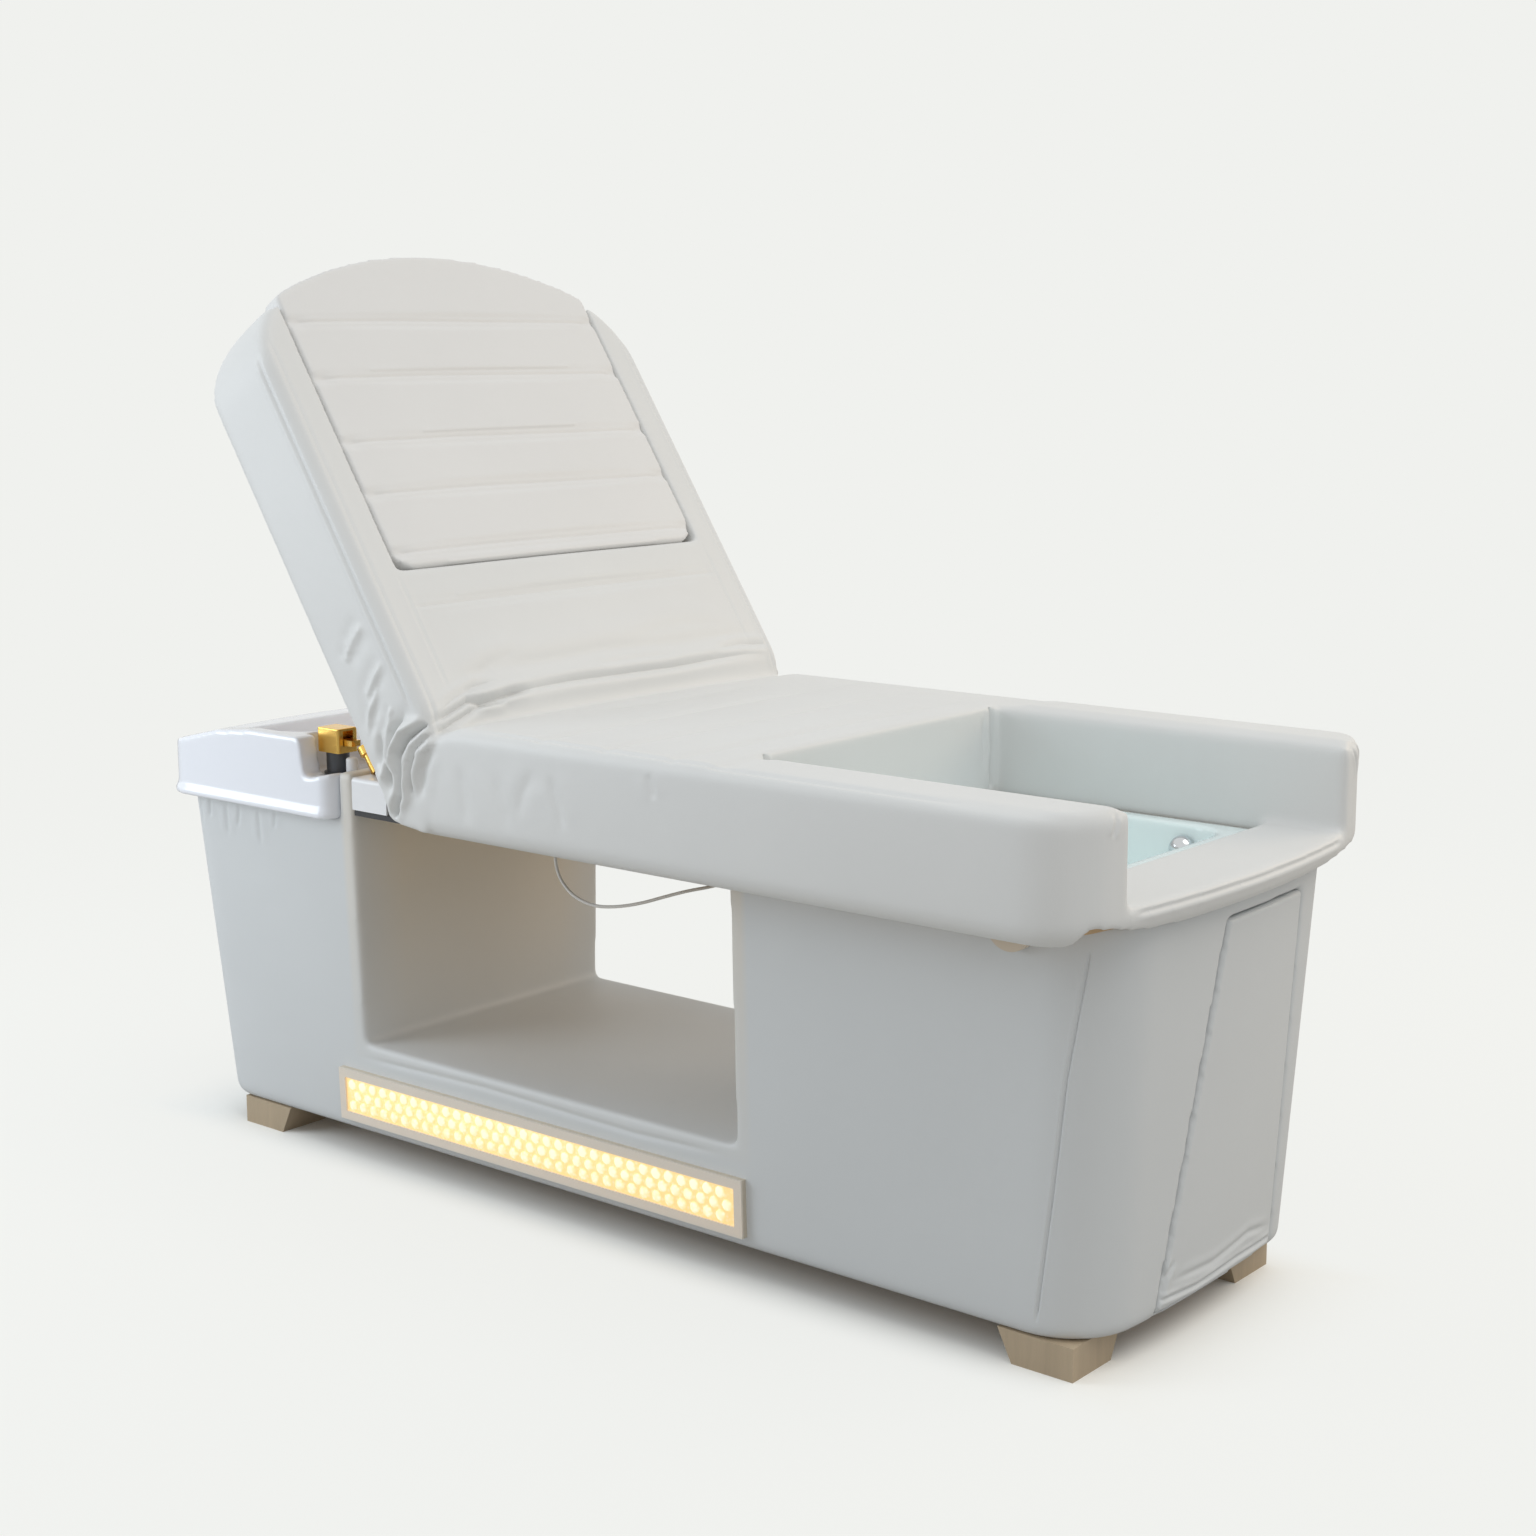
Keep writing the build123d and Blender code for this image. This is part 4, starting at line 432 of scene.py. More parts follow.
@dataclass(frozen=True)
class Leather(Finish):
    """Soft upholstery leather with a fine pebbled grain."""

    grain: float = 0.0016
    slack: float = 0.35
    relief: float = 0.00012
    pores: float = 0.12

    def dress(self, paint: Paint) -> None:
        """Grain, soft mottle, dust and a low sheen.

        Args:
            paint: The material to detail.
        """
        grain = paint.add("Group", node_tree=GRAIN, Size=self.grain, Slack=self.slack)
        pores = paint.calc("MULTIPLY", grain.outputs["Pore"], self.pores)
        clouds = paint.calc("MULTIPLY", paint.shared(MOTTLE, Scale=5.0, Depth=0.35), 1.0 - self.pores)
        paint.tint(paint.calc("ADD", clouds, pores), darker=0.95, lighter=1.035)
        matt = paint.calc("ADD", self.roughness, paint.shared(DUST, Amount=0.12))
        paint.set(
            Roughness=paint.calc("ADD", matt, paint.calc("MULTIPLY", pores, -0.3)),
            Specular_IOR_Level=0.42, Sheen_Weight=0.06, Sheen_Roughness=0.5,
        )
        paint.bump(grain.outputs["Height"], self.relief, strength=0.55)


@dataclass(frozen=True)
class TunnelShadedLeather(Leather):
    """The base's leather, with painted warm shade mixed in inside the tunnel, strongest deep inside and high up under
    the pad.
    """

    # painted shade: the warm brownish colour of the shaded tunnel under the pad
    tunnel_shade_colour: Point = (230, 214, 188)
    head_x: float = -0.500
    foot_x: float = 0.322
    floor_z: float = 0.165
    full_z: float = 0.55
    outer_y: float = 0.325
    inner_y: float = 0.175
    soften: float = 0.012
    low_share: float = 0.1

    def dress(self, paint: Paint) -> None:
        """Mix painted warm shade in where the surface lies inside the tunnel, more of it deeper in and higher up.

        Args:
            paint: The material to detail.
        """
        super().dress(paint)
        plain = paint.shader.inputs["Base Color"].links[0].from_socket
        axes = paint.add("SeparateXYZ", Vector=paint.place()).outputs
        within = paint.calc(
            "MULTIPLY", paint.span(axes["X"], self.head_x, self.head_x + self.soften),
            paint.span(axes["X"], self.foot_x, self.foot_x - self.soften),
            paint.span(axes["Z"], self.floor_z, self.floor_z + self.soften),
        )
        deep = paint.span(paint.calc("ABSOLUTE", axes["Y"]), self.outer_y, self.inner_y)
        high = paint.span(axes["Z"], self.floor_z, self.full_z, (self.low_share, 1.0))
        # painted shade: how strongly the warm shade colour replaces the leather's own colour, inside the tunnel
        inside = paint.calc("MULTIPLY", within, paint.calc("MULTIPLY", deep, high))
        paint.set(Base_Color=paint.mix(inside, plain, tone(*self.tunnel_shade_colour)))


@dataclass(frozen=True)
class Glaze(Finish):
    """Glossy ceramic or moulded acrylic with a faint waviness."""

    coat: float = 0.5

    def dress(self, paint: Paint) -> None:
        """A clear coat over a slightly uneven body.

        Args:
            paint: The material to detail.
        """
        paint.tint(paint.shared(MOTTLE, Scale=3.0, Depth=0.25), darker=0.98, lighter=1.015)
        paint.set(
            Roughness=paint.calc("ADD", self.roughness, paint.shared(DUST, Amount=0.08)),
            Coat_Weight=self.coat, Coat_Roughness=0.06,
        )
        paint.bump(paint.shared(MOTTLE, Scale=22.0, Depth=0.5), depth=0.0004, strength=0.25)


@dataclass(frozen=True)
class Metal(Finish):
    """Plated, brushed or painted metal."""

    metallic: float = 1.0
    strokes: float = 0.25

    def dress(self, paint: Paint) -> None:
        """Brushed strokes, also in the sheen, and rubbed edges.

        Args:
            paint: The material to detail.
        """
        paint.tint(paint.shared(RUB, Amount=0.6), darker=1.0, lighter=1.25)
        brush = paint.shared(BRUSH, Scale=420.0)
        smear = paint.calc("MULTIPLY", paint.calc("SUBTRACT", brush, 0.5), 0.16)
        paint.set(Metallic=self.metallic, Roughness=paint.calc("ADD", self.roughness, smear))
        paint.bump(brush, 0.00005, self.strokes)


@dataclass(frozen=True)
class Moulded(Finish):
    """Moulded plastic or rubber with a fine spark texture."""

    texture: float = 900.0

    def dress(self, paint: Paint) -> None:
        """Spark texture, mottle and rubbed edges.

        Args:
            paint: The material to detail.
        """
        factor = paint.calc("ADD", paint.shared(MOTTLE, Scale=12.0, Depth=0.2), paint.shared(RUB, Amount=0.35))
        paint.tint(factor, darker=0.95, lighter=1.05)
        paint.bump(paint.noise(self.texture, detail=2.0), depth=0.00006, strength=0.4)


@dataclass(frozen=True)
class Timber(Finish):
    """Wood with a drawn grain, for the boards and the legs."""

    stretch: Point = (0.5, 6.0, 6.0)

    def dress(self, paint: Paint) -> None:
        """Grain lines, pores and rubbed edges.

        Args:
            paint: The material to detail.
        """
        drawn = paint.stretched(self.stretch)
        rings = paint.noise(9.0, detail=6.0, at=drawn, Distortion=0.8)
        fibre = paint.noise(160.0, detail=2.0, at=drawn)
        grain = paint.calc("ADD", paint.calc("MULTIPLY", fibre, 0.3), rings)
        factor = paint.calc("ADD", paint.calc("SUBTRACT", grain, 0.15), paint.shared(RUB, Amount=0.4))
        paint.tint(factor, darker=0.80, lighter=1.12)
        paint.bump(fibre, depth=0.0001, strength=0.35)


@dataclass(frozen=True)
class Glow(Finish):
    """The lit beads behind the light panel's frame and the sheet that they stand on."""

    sheet: Point = (250, 214, 148)
    crown: Point = (255, 250, 226)
    crown_from: float = 0.7
    strength: float = 0.82
    row_low: float = 0.066
    row_high: float = 0.150

    def dress(self, paint: Paint) -> None:
        """Bright crowns, warm flanks, and sparkle that breaks up the lower rows.

        Args:
            paint: The material to detail.
        """
        height = paint.add("Attribute", attribute_name="bead_height").outputs["Fac"]
        place = paint.place()
        level = paint.span(paint.add("SeparateXYZ", Vector=place).outputs["Z"], self.row_low, self.row_high)
        sparkle = paint.add("TexVoronoi", feature="F1", Vector=place, Scale=170.0)
        glint = paint.span(sparkle.outputs["Distance"], 0.15, 0.75, (0.35, -0.25))
        raised = paint.calc("MULTIPLY", height, paint.calc("ADD", level, 0.35))
        factor = paint.calc("ADD", raised, paint.calc("MULTIPLY", glint, 0.8))
        lit = paint.ramp(factor, tone(*self.sheet), tone(*self.crown), self.crown_from)
        paint.set(Emission_Color=lit, Emission_Strength=self.strength)
        paint.bump(glint, depth=0.0008, strength=0.5)


@dataclass(frozen=True)
class Frosted(Finish):
    """Frosted clear acrylic over the light."""

    clear: float = 0.55

    def dress(self, paint: Paint) -> None:
        """Partly clear plastic with a fine frost.

        Args:
            paint: The material to detail.
        """
        frost = paint.noise(500.0, detail=2.0)
        paint.tint(frost, darker=0.97, lighter=1.03)
        paint.set(Transmission_Weight=self.clear)
        paint.bump(frost, depth=0.00008, strength=0.4)


PAD_LEATHER = Leather("seat_leather", "pad_leather", (222, 223, 222), 0.46)
# painted light: the insert is the seat's own leather made a little lighter, standing in for light that it gets less
# of than the rest of the back
INSERT_LEATHER_PAINTED_LIGHTER = Leather("insert_leather", "pad_leather", (225, 225, 224), 0.46, slack=0.2)
TAB_LEATHER = Leather("tab_leather", "plywood", (214, 202, 184), 0.5, slack=0.1)
# The base's leather carries painted warm shade inside the tunnel.
BASE_LEATHER = TunnelShadedLeather("cabinet_leather", "base_leather", (211, 214, 215), 0.52, slack=0.5)
CERAMIC = Glaze("basin_glaze", "basin_ceramic", (242, 245, 252), 0.16)
ACRYLIC = Glaze("bath_acrylic", "bath_acrylic", (240, 254, 255), 0.14)
PLYWOOD = Timber("layered_board", "plywood", (196, 166, 128), 0.62)
LEG_WOOD = Timber("oiled_leg_wood", "leg_wood", (186, 168, 142), 0.42, stretch=(6.0, 6.0, 0.5))
FRAME_STEEL = Metal("frame_paint", "frame_steel", (52, 52, 54), 0.5, metallic=0.0)
PIN_STEEL = Metal("pin_steel", "pin_steel", (176, 177, 178), 0.28)
GOLD = Metal("gold_plate", "gold", (240, 196, 108), 0.24)
GUNMETAL = Metal("dark_satin", "gunmetal", (84, 86, 90), 0.4, metallic=0.6)
CHROME = Metal("chrome_plate", "chrome", (214, 216, 220), 0.1, strokes=0.05)
ALUMINIUM = Metal("satin_aluminium", "light_aluminium", (216, 206, 190), 0.42, metallic=0.7)
BEZEL = Frosted("frosted_bezel", "clear_bezel", (240, 231, 218), 0.3, clear=0.10)
BEADS = Glow("lit_beads", "light_beads", (196, 170, 120), 0.4)
STRIP = Moulded("light_strip_board", "light_strip", (236, 232, 222), 0.5)
GREY_PLASTIC = Moulded("grey_moulding", "grey_plastic", (96, 98, 101), 0.5)
WHITE_PLASTIC = Moulded("white_moulding", "white_plastic", (236, 237, 239), 0.3)
LEAD = Moulded("lead_rubber", "lead_grey", (222, 219, 213), 0.5)


# ---------------------------------------------------------------- meshes


def rows(items: bpy.types.bpy_prop_collection, name: str, width: int, kind: type = float) -> Array:
    """Read one property of all the items, one item a row."""
    values = np.empty(len(items) * width, kind)
    items.foreach_get(name, values)
    return values.reshape(-1, width)


def enlarged(node: str, grow: float) -> Form:
    """Copy a CAD node, a little larger so that it overlaps its neighbours.

    Args:
        node: The node's name.
        grow: How far each side moves outwards, in metres.

    Returns:
        The copy's points and faces.
    """
    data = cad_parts[node].data
    places = rows(data.vertices, "co", 3)
    low, high = places.min(0), places.max(0)
    middle = (low + high) / 2
    points = middle + (places - middle) * (1.0 + 2.0 * grow / (high - low))
    return points, [tuple(face.vertices) for face in data.polygons]


def joined_mesh(name: str, forms: list[Form]) -> bpy.types.Mesh:
    """Join closed forms into one mesh.

    Args:
        name: The new mesh's name.
        forms: The points and faces of each form.

    Returns:
        The mesh.
    """
    faces: list[Face] = []
    start = 0
    for points, sides in forms:
        faces.extend(tuple(start + corner for corner in side) for side in sides)
        start += len(points)
    mesh = bpy.data.meshes.new(name)
    mesh.from_pydata(np.concatenate([points for points, _ in forms]).tolist(), [], faces)
    return mesh


def new_object(name: str, data: bpy.types.ID) -> bpy.types.Object:
    """Make an object for some data and put it in the scene.

    Args:
        name: The object's name.
        data: Its mesh, curve, lamp or camera.

    Returns:
        The new object.
    """
    made = bpy.data.objects.new(name, data)
    bpy.context.scene.collection.objects.link(made)
    return made


def dress(look: Finish, *nodes: str) -> None:
    """Give CAD nodes a finish.

    Args:
        look: The finish.
        nodes: The names of the nodes.
    """
    for node in nodes:
        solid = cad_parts[node]
        if not solid.material_slots:
            solid.data.materials.append(look.material())
        for place in solid.material_slots:
            place.material = look.material()


@dataclass(frozen=True)
class Fold:
    """A crease in the fabric along a line, with a roll on each side of it, in millimetres."""

    line: tuple[Pair, ...]
    depth: float
    width: float
    roll: float = 0.0
    fade: float = 0.18
    crisp: bool = False
    roll_place: float = 2.3
    roll_width: float = 1.4

    def measure(self, places: Array) -> tuple[Array, Array]:
        """How far each place is from the line, and how far along it.

        Args:
            places: Points in the patch's own two directions, one a row.

        Returns:
            The distances, and the shares of the line's length.
        """
        corners = np.array(self.line, float) * MM
        steps = np.linalg.norm(np.diff(corners, axis=0), axis=1)
        starts = np.concatenate([[0.0], np.cumsum(steps)])
        nearest = np.full(len(places), np.inf)
        along = np.zeros(len(places))
        for index, step in enumerate(steps):
            start, way = corners[index], (corners[index + 1] - corners[index]) / step
            away = places - start
            share = np.clip(away @ way, 0.0, step)
            gap = np.linalg.norm(away - share[:, None] * way, axis=1)
            closer = gap < nearest
            nearest[closer] = gap[closer]
            along[closer] = starts[index] + share[closer]
        return nearest, along / starts[-1]

    def shift(self, places: Array) -> Array:
        """How far the fabric moves outwards at each place.

        Args:
            places: Points in the patch's own two directions, one a row.

        Returns:
            The outward distances.
        """
        nearest, along = self.measure(places)
        ends = ease(along, 0.0, self.fade) * ease(1.0 - along, 0.0, self.fade)
        width = self.width * MM
        valley = np.exp(-nearest / width) if self.crisp else bell(nearest, 0.0, width)
        rolls = bell(nearest, self.roll_place * width, self.roll_width * width)
        return ends * (self.roll * rolls - self.depth * valley) * MM


@dataclass(frozen=True)
class Side:
    """A side that folds are drawn on: its two directions, the way out of it, and where it starts and is full."""

    first: Way
    second: Way
    out: Way
    facing: Pair
    limits: tuple[tuple[Way, float, float], ...]


class Patch(Enum):
    """The sides of the upholstery on which folds are drawn."""

    BACK_FACE = Side(Way.ALONG, Way.FAR, Way.OUT, (0.2, 0.7), ((Way.OUT, 0.085, 0.1), (Way.ALONG, -0.02, 0.01)))
    SEAT_TOP = Side(Way.FOOT, Way.FAR, Way.UP, (0.2, 0.7), ((Way.UP, 0.70, 0.72),))
    FOOT_END = Side(Way.FAR, Way.UP, Way.FOOT, (0.2, 0.7), ((Way.FOOT, 0.80, 0.82),))
    RECESS_END = Side(Way.FAR, Way.UP, Way.FOOT, (0.2, 0.7), (
        (Way.FOOT, 0.42, 0.39), (Way.FOOT, 0.30, 0.32), (Way.UP, 0.599, 0.600),
    ))
    NEAR_SIDE = Side(Way.FOOT, Way.UP, Way.NEAR, (0.15, 0.6), ((Way.NEAR, 0.24, 0.25),))
    FAR_SIDE = Side(Way.FOOT, Way.UP, Way.FAR, (0.15, 0.6), ((Way.FAR, 0.24, 0.25),))
    NEAR_BOLSTER = Side(Way.ALONG, Way.OUT, Way.NEAR, (0.15, 0.6), ((Way.NEAR, 0.24, 0.25),))
    FAR_BOLSTER = Side(Way.ALONG, Way.OUT, Way.FAR, (0.15, 0.6), ((Way.FAR, 0.24, 0.25),))


Folds = dict[Patch, tuple[Fold, ...]]


class Skin:
    """A smooth skin over several solids, which can be eased, puffed and folded."""

    def __init__(
        self, name: str, nodes: tuple[str, ...], voxel: float, grow: float = 0.0, fillers: tuple[Form, ...] = ()
    ) -> None:
        """Weld the nodes into one skin.

        Args:
            name: The new piece's name.
            nodes: The CAD nodes that the skin covers.
            voxel: The size of the skin's facets, in metres.
            grow: How far each node is enlarged first, in metres.
            fillers: Other closed forms that the skin covers.
        """
        self.nodes = nodes
        self.body = new_object(name, joined_mesh(name, [*(enlarged(node, grow) for node in nodes), *fillers]))
        welded = self.body.modifiers.new("weld", "REMESH")
        welded.mode, welded.voxel_size, welded.adaptivity = "VOXEL", voxel, 0.0
        welded.use_smooth_shade = True
        graph = bpy.context.evaluated_depsgraph_get()
        settled = bpy.data.meshes.new_from_object(self.body.evaluated_get(graph))
        self.body.modifiers.clear()
        self.body.data = settled
        self.read()

    def read(self) -> None:
        """Read the points and edges of the mesh."""
        self.points = rows(self.body.data.vertices, "co", 3)
        self.edges = rows(self.body.data.edges, "vertices", 2, int)

    def write(self) -> None:
        """Put the points back in the mesh."""
        self.body.data.vertices.foreach_set("co", self.points.ravel())
        self.body.data.update()

    def normals(self) -> Array:
        """The outward direction at each point."""
        self.write()
        return rows(self.body.data.vertices, "normal", 3)

    def relax(self, times: int, share: float = 0.5) -> None:
        """Ease the skin, which rounds its edges.

        Args:
            times: How often each point moves towards its neighbours.
            share: How much of the way it goes.
        """
        first, second = self.edges.T
        count = len(self.points)
        neighbours = np.maximum(np.bincount(self.edges.ravel(), minlength=count), 1)
        for _ in range(times):
            middle = np.stack([
                np.bincount(first, column[second], count) + np.bincount(second, column[first], count)
                for column in self.points.T
            ], 1) / neighbours[:, None]
            self.points += share * (middle - self.points)

    def refine(self, near: Array) -> None:
        """Divide the edges between chosen points.

        Args:
            near: Whether each point is chosen.
        """
        self.write()
        work = bmesh.new()
        work.from_mesh(self.body.data)
        chosen = [edge for edge in work.edges if near[edge.verts[0].index] and near[edge.verts[1].index]]
        bmesh.ops.subdivide_edges(work, edges=chosen, cuts=1, use_grid_fill=True, smooth=0.0)
        work.to_mesh(self.body.data)
        work.free()
        self.body.data.shade_smooth()
        self.read()

    def push(self, direction: Array, amount: Array) -> None:
        """Move the points along one direction, or along one for each point."""
        self.points += amount[:, None] * direction

    def on(self, patch: Patch) -> tuple[Array, Array]:
        """Measure the skin on one of its sides.

        Args:
            patch: The side that the folds are drawn on.

        Returns:
            The places in the side's own directions, and how fully each point belongs to the side.
        """
        side = patch.value
        share = ease(self.normals() @ WAYS[side.out], *side.facing)
        for way, start, full in side.limits:
            share = share * ease(measured(self.points, way), start, full)
        return np.stack([measured(self.points, way) for way in (side.first, side.second)], 1), share

    def fold(self, folds: Folds, *reaches: float) -> None:
        """Press folds into the skin.

        Args:
            folds: The folds for each patch.
            reaches: How close to a fold the skin is made finer, once for each value.
        """
        for reach in reaches:
            close = np.zeros(len(self.points), bool)
            for patch, lines in folds.items():
                places, share = self.on(patch)
                chosen = np.flatnonzero(share > 0.0)
                for fold in lines:
                    close[chosen[fold.measure(places[chosen])[0] < reach]] = True
            self.refine(close)
        for patch, lines in folds.items():
            places, share = self.on(patch)
            chosen = share > 0.0
            amount = np.zeros(len(self.points))
            for fold in lines:
                amount[chosen] += fold.shift(places[chosen])
            self.push(WAYS[patch.value.out], amount * share)

    def finish(self, look: Finish, body: Body | None = None) -> bpy.types.Object:
        """Write the skin, give it its finish, hide the CAD nodes that it covers and attach it to the body that it
        rides on.

        Args:
            look: The finish.
            body: The body that it rides on, if it rides on one alone.

        Returns:
            The finished piece.
        """
        self.write()
        self.body.data.materials.clear()
        self.body.data.materials.append(look.material())
        self.body.data.shade_smooth()
        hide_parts(*self.nodes)
        if body:
            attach(self.body, body.value)
        log.info("%s: %d points", self.body.name, len(self.points))
        return self.body


# ---------------------------------------------------------------- camera, light and floor


@dataclass
class Studio:
    """The camera at the photograph's place, the lamps, the floor and the backdrop."""

    place: Point = (2.34062, -2.66771, 1.29055)
    turn: float = math.radians(39.4332)
    dip: float = math.radians(9.6171)
    roll: float = math.radians(-0.16385)
    lens: float = 56.37
    shift: Pair = (-0.00445, -0.01659)
    backdrop: Point = (240, 241, 238)
    world_colour: Point = (0.965, 0.985, 1.0)
    world_strength: float = 0.67
    floor_reach: float = 40.0
    floor_colour: Point = (250, 251, 248)
    floor_uneven: float = 0.5
    floor_under: Point = (188, 186, 182)
    # painted light: how much even glow the camera sees on the floor outside the bed's footprint, which washes out the
    # bed's shadow there
    painted_floor_light: float = 0.88
    painted_floor_light_colour: Point = (240.5, 241.5, 238.5)
    painted_light_inner: Pair = (0.80, 0.215)
    painted_light_room: Pair = (0.26, 0.12)
    floor_ends: Pair = (1.5, 4.5)

    def build(self) -> None:
        """Make the camera first, then the light and the floor."""
        self.camera()
        self.world()
        self.lamp("high_lamp", "SUN", (0.46, 0.02, 0.89), 0.76, (1.0, 0.975, 0.94)).data.angle = math.radians(40.0)
        for name, place, aim, side, power, colour in (
            ("cool_lamp", (-2.1, -2.0, 1.3), (-0.8, -0.1, 0.6), 1.5, 27.0, (0.84, 0.92, 1.0)),
            ("warm_lamp", (2.0, 2.8, 2.2), (0.0, 0.3, 0.8), 1.6, 20.0, (1.0, 0.76, 0.48)),
        ):
            lamp = self.lamp(name, "AREA", Vector(place) - Vector(aim), power, colour)
            lamp.data.size = side
            lamp.location = place
        self.floor()

    def camera(self) -> None:
        """Stand the camera where the photograph was taken from."""
        data = bpy.data.cameras.new("camera")
        data.lens = self.lens
        data.shift_x, data.shift_y = self.shift
        body = new_object("camera", data)
        body.matrix_world = Matrix.Translation(self.place) @ Matrix.Rotation(self.turn, 4, "Z") @ (
            Matrix.Rotation(math.pi / 2 - self.dip, 4, "X") @ Matrix.Rotation(self.roll, 4, "Z")
        )
        bpy.context.scene.camera = body

    def world(self) -> None:
        """An even sky, seen by the camera as the backdrop's own colour."""
        bpy.context.scene.view_settings.view_transform = "Standard"
        world = bpy.data.worlds.new("studio")
        bpy.context.scene.world = world
        world.use_nodes = True
        wiring = Wiring(world.node_tree)
        light = wiring.tree.nodes["Background"]
        wiring.put(light, "Color", (*self.world_colour, 1.0))
        wiring.put(light, "Strength", self.world_strength)
        seen = wiring.add("Background", Color=tone(*self.backdrop), Strength=1.0)
        path = wiring.add("LightPath").outputs
        direct = (path[f"Is {ray} Ray"] for ray in ("Camera", "Glossy", "Transmission"))
        both = wiring.fade(wiring.calc("MAXIMUM", *direct), light.outputs[0], seen.outputs[0])
        wiring.put(wiring.tree.nodes["World Output"], "Surface", both)

    def lamp(self, name: str, kind: str, source: Point | Vector, power: float, colour: Point) -> bpy.types.Object:
        """Add one soft lamp.

        Args:
            name: The lamp's name.
            kind: Blender's name of its kind.
            source: The direction that the light comes from.
            power: Its power.
            colour: Its colour.

        Returns:
            The lamp.
        """
        data = bpy.data.lights.new(name, kind)
        data.energy, data.color = power, colour
        body = new_object(name, data)
        body.rotation_euler = Vector(source).to_track_quat("Z", "Y").to_euler()
        return body

    def floor(self) -> None:
        """A wide pale floor with painted light outside the bed's footprint, which washes out most of the bed's shadow
        there and keeps it under the bed, and which fades out for the camera far away.
        """
        mesh = bpy.data.meshes.new("floor")
        far = self.floor_reach
        mesh.from_pydata([(-far, -far, 0.0), (far, -far, 0.0), (far, far, 0.0), (-far, far, 0.0)], [], [(0, 1, 2, 3)])
        body = new_object("floor", mesh)
        paint = Paint("floor_paint", self.floor_colour)
        ends = [tone(*(channel + way * self.floor_uneven for channel in self.floor_colour)) for way in (-1, 1)]
        pale = paint.ramp(paint.shared(MOTTLE, Scale=0.8, Depth=0.02), *ends)
        seen = paint.add("LightPath").outputs["Is Camera Ray"]
        paint.set(Base_Color=paint.mix(seen, tone(*self.floor_under), pale), Roughness=1.0, Specular_IOR_Level=0.0)
        place = paint.place()
        axes = paint.add("SeparateXYZ", Vector=place).outputs
        # painted light: the glow rises from none at the bed's footprint to full a little way out, so the bed's shadow
        # stays only under the bed
        beyond = 0.0
        for axis, inner, room in zip("XY", self.painted_light_inner, self.painted_light_room):
            past = paint.calc("SUBTRACT", paint.calc("ABSOLUTE", axes[axis]), inner)
            beyond = paint.calc("MAXIMUM", paint.calc("DIVIDE", past, room), beyond)
        share = paint.span(beyond, 0.0, 1.0, (0.0, self.painted_floor_light), "SMOOTHSTEP")
        glow = paint.add("Emission", Color=tone(*self.painted_floor_light_colour), Strength=1.0)
        lit = paint.fade(paint.calc("MULTIPLY", seen, share), paint.shader.outputs[0], glow.outputs[0])
        away = paint.add("VectorMath", operation="LENGTH", Vector=place).outputs["Value"]
        share = paint.calc("MULTIPLY", paint.span(away, *self.floor_ends, kind="SMOOTHSTEP"), seen)
        whole = paint.fade(share, lit, paint.add("BsdfTransparent").outputs[0])
        paint.put(paint.tree.nodes["Material Output"], "Surface", whole)
        mesh.materials.append(paint.made)


# ---------------------------------------------------------------- upholstery


NEAR_FOLDS: tuple[Fold, ...] = (
    Fold(((-246, 604), (-226, 640), (-222, 670), (-223, 702), (-205, 727), (-167, 751)), 14, 4.5, 4, 0.06, True),
    Fold(((-205, 640), (-203, 680), (-190, 712), (-158, 742)), 8, 4, 3, 0.15, True),
    Fold(((-238, 640), (-247, 690), (-236, 730), (-207, 765)), 8, 4, 3, 0.2, True),
    Fold(((-186, 640), (-178, 685), (-160, 718)), 3, 6, 1.5, 0.3),
    Fold(((-250, 660), (-262, 700), (-262, 740)), 4, 5, 2, 0.3),
    Fold(((44, 712), (18, 672), (6, 629)), 1.5, 10, 0.6, 0.35),
    Fold(((-40, 700), (-22, 655), (-8, 610)), 1.2, 12, 0.5, 0.35),
    Fold(((68, 706), (86, 660), (98, 625)), 1.6, 9, 0.8, 0.3),
    Fold(((-110, 700), (-98, 650), (-92, 610)), 1.6, 12, 0.8, 0.3),
    Fold(((248, 728), (262, 690)), 1.2, 7, 0.6, 0.3),
)

BOLSTER_FOLDS: tuple[Fold, ...] = (
    Fold(((257, 79), (236, 21)), -2.6, 7, -1.4, 0.3),
    Fold(((242, 34), (225, 13)), -2, 6, -1, 0.3),
    Fold(((194, 87), (166, 29), (130, 12)), -3, 6, -1.6, 0.3),
    Fold(((167, 57), (138, 13), (114, -7)), -3, 5, -1.6, 0.3),
    Fold(((131, 65), (95, 30)), -3, 5, -1.6, 0.3),
    Fold(((41, -30), (73, 22), (90, 65), (88, 104)), -6, 8, -3, 0.2),
    Fold(((100, 98), (400, 99), (700, 99)), 2, 3, 1.4, 0.06, True),
)

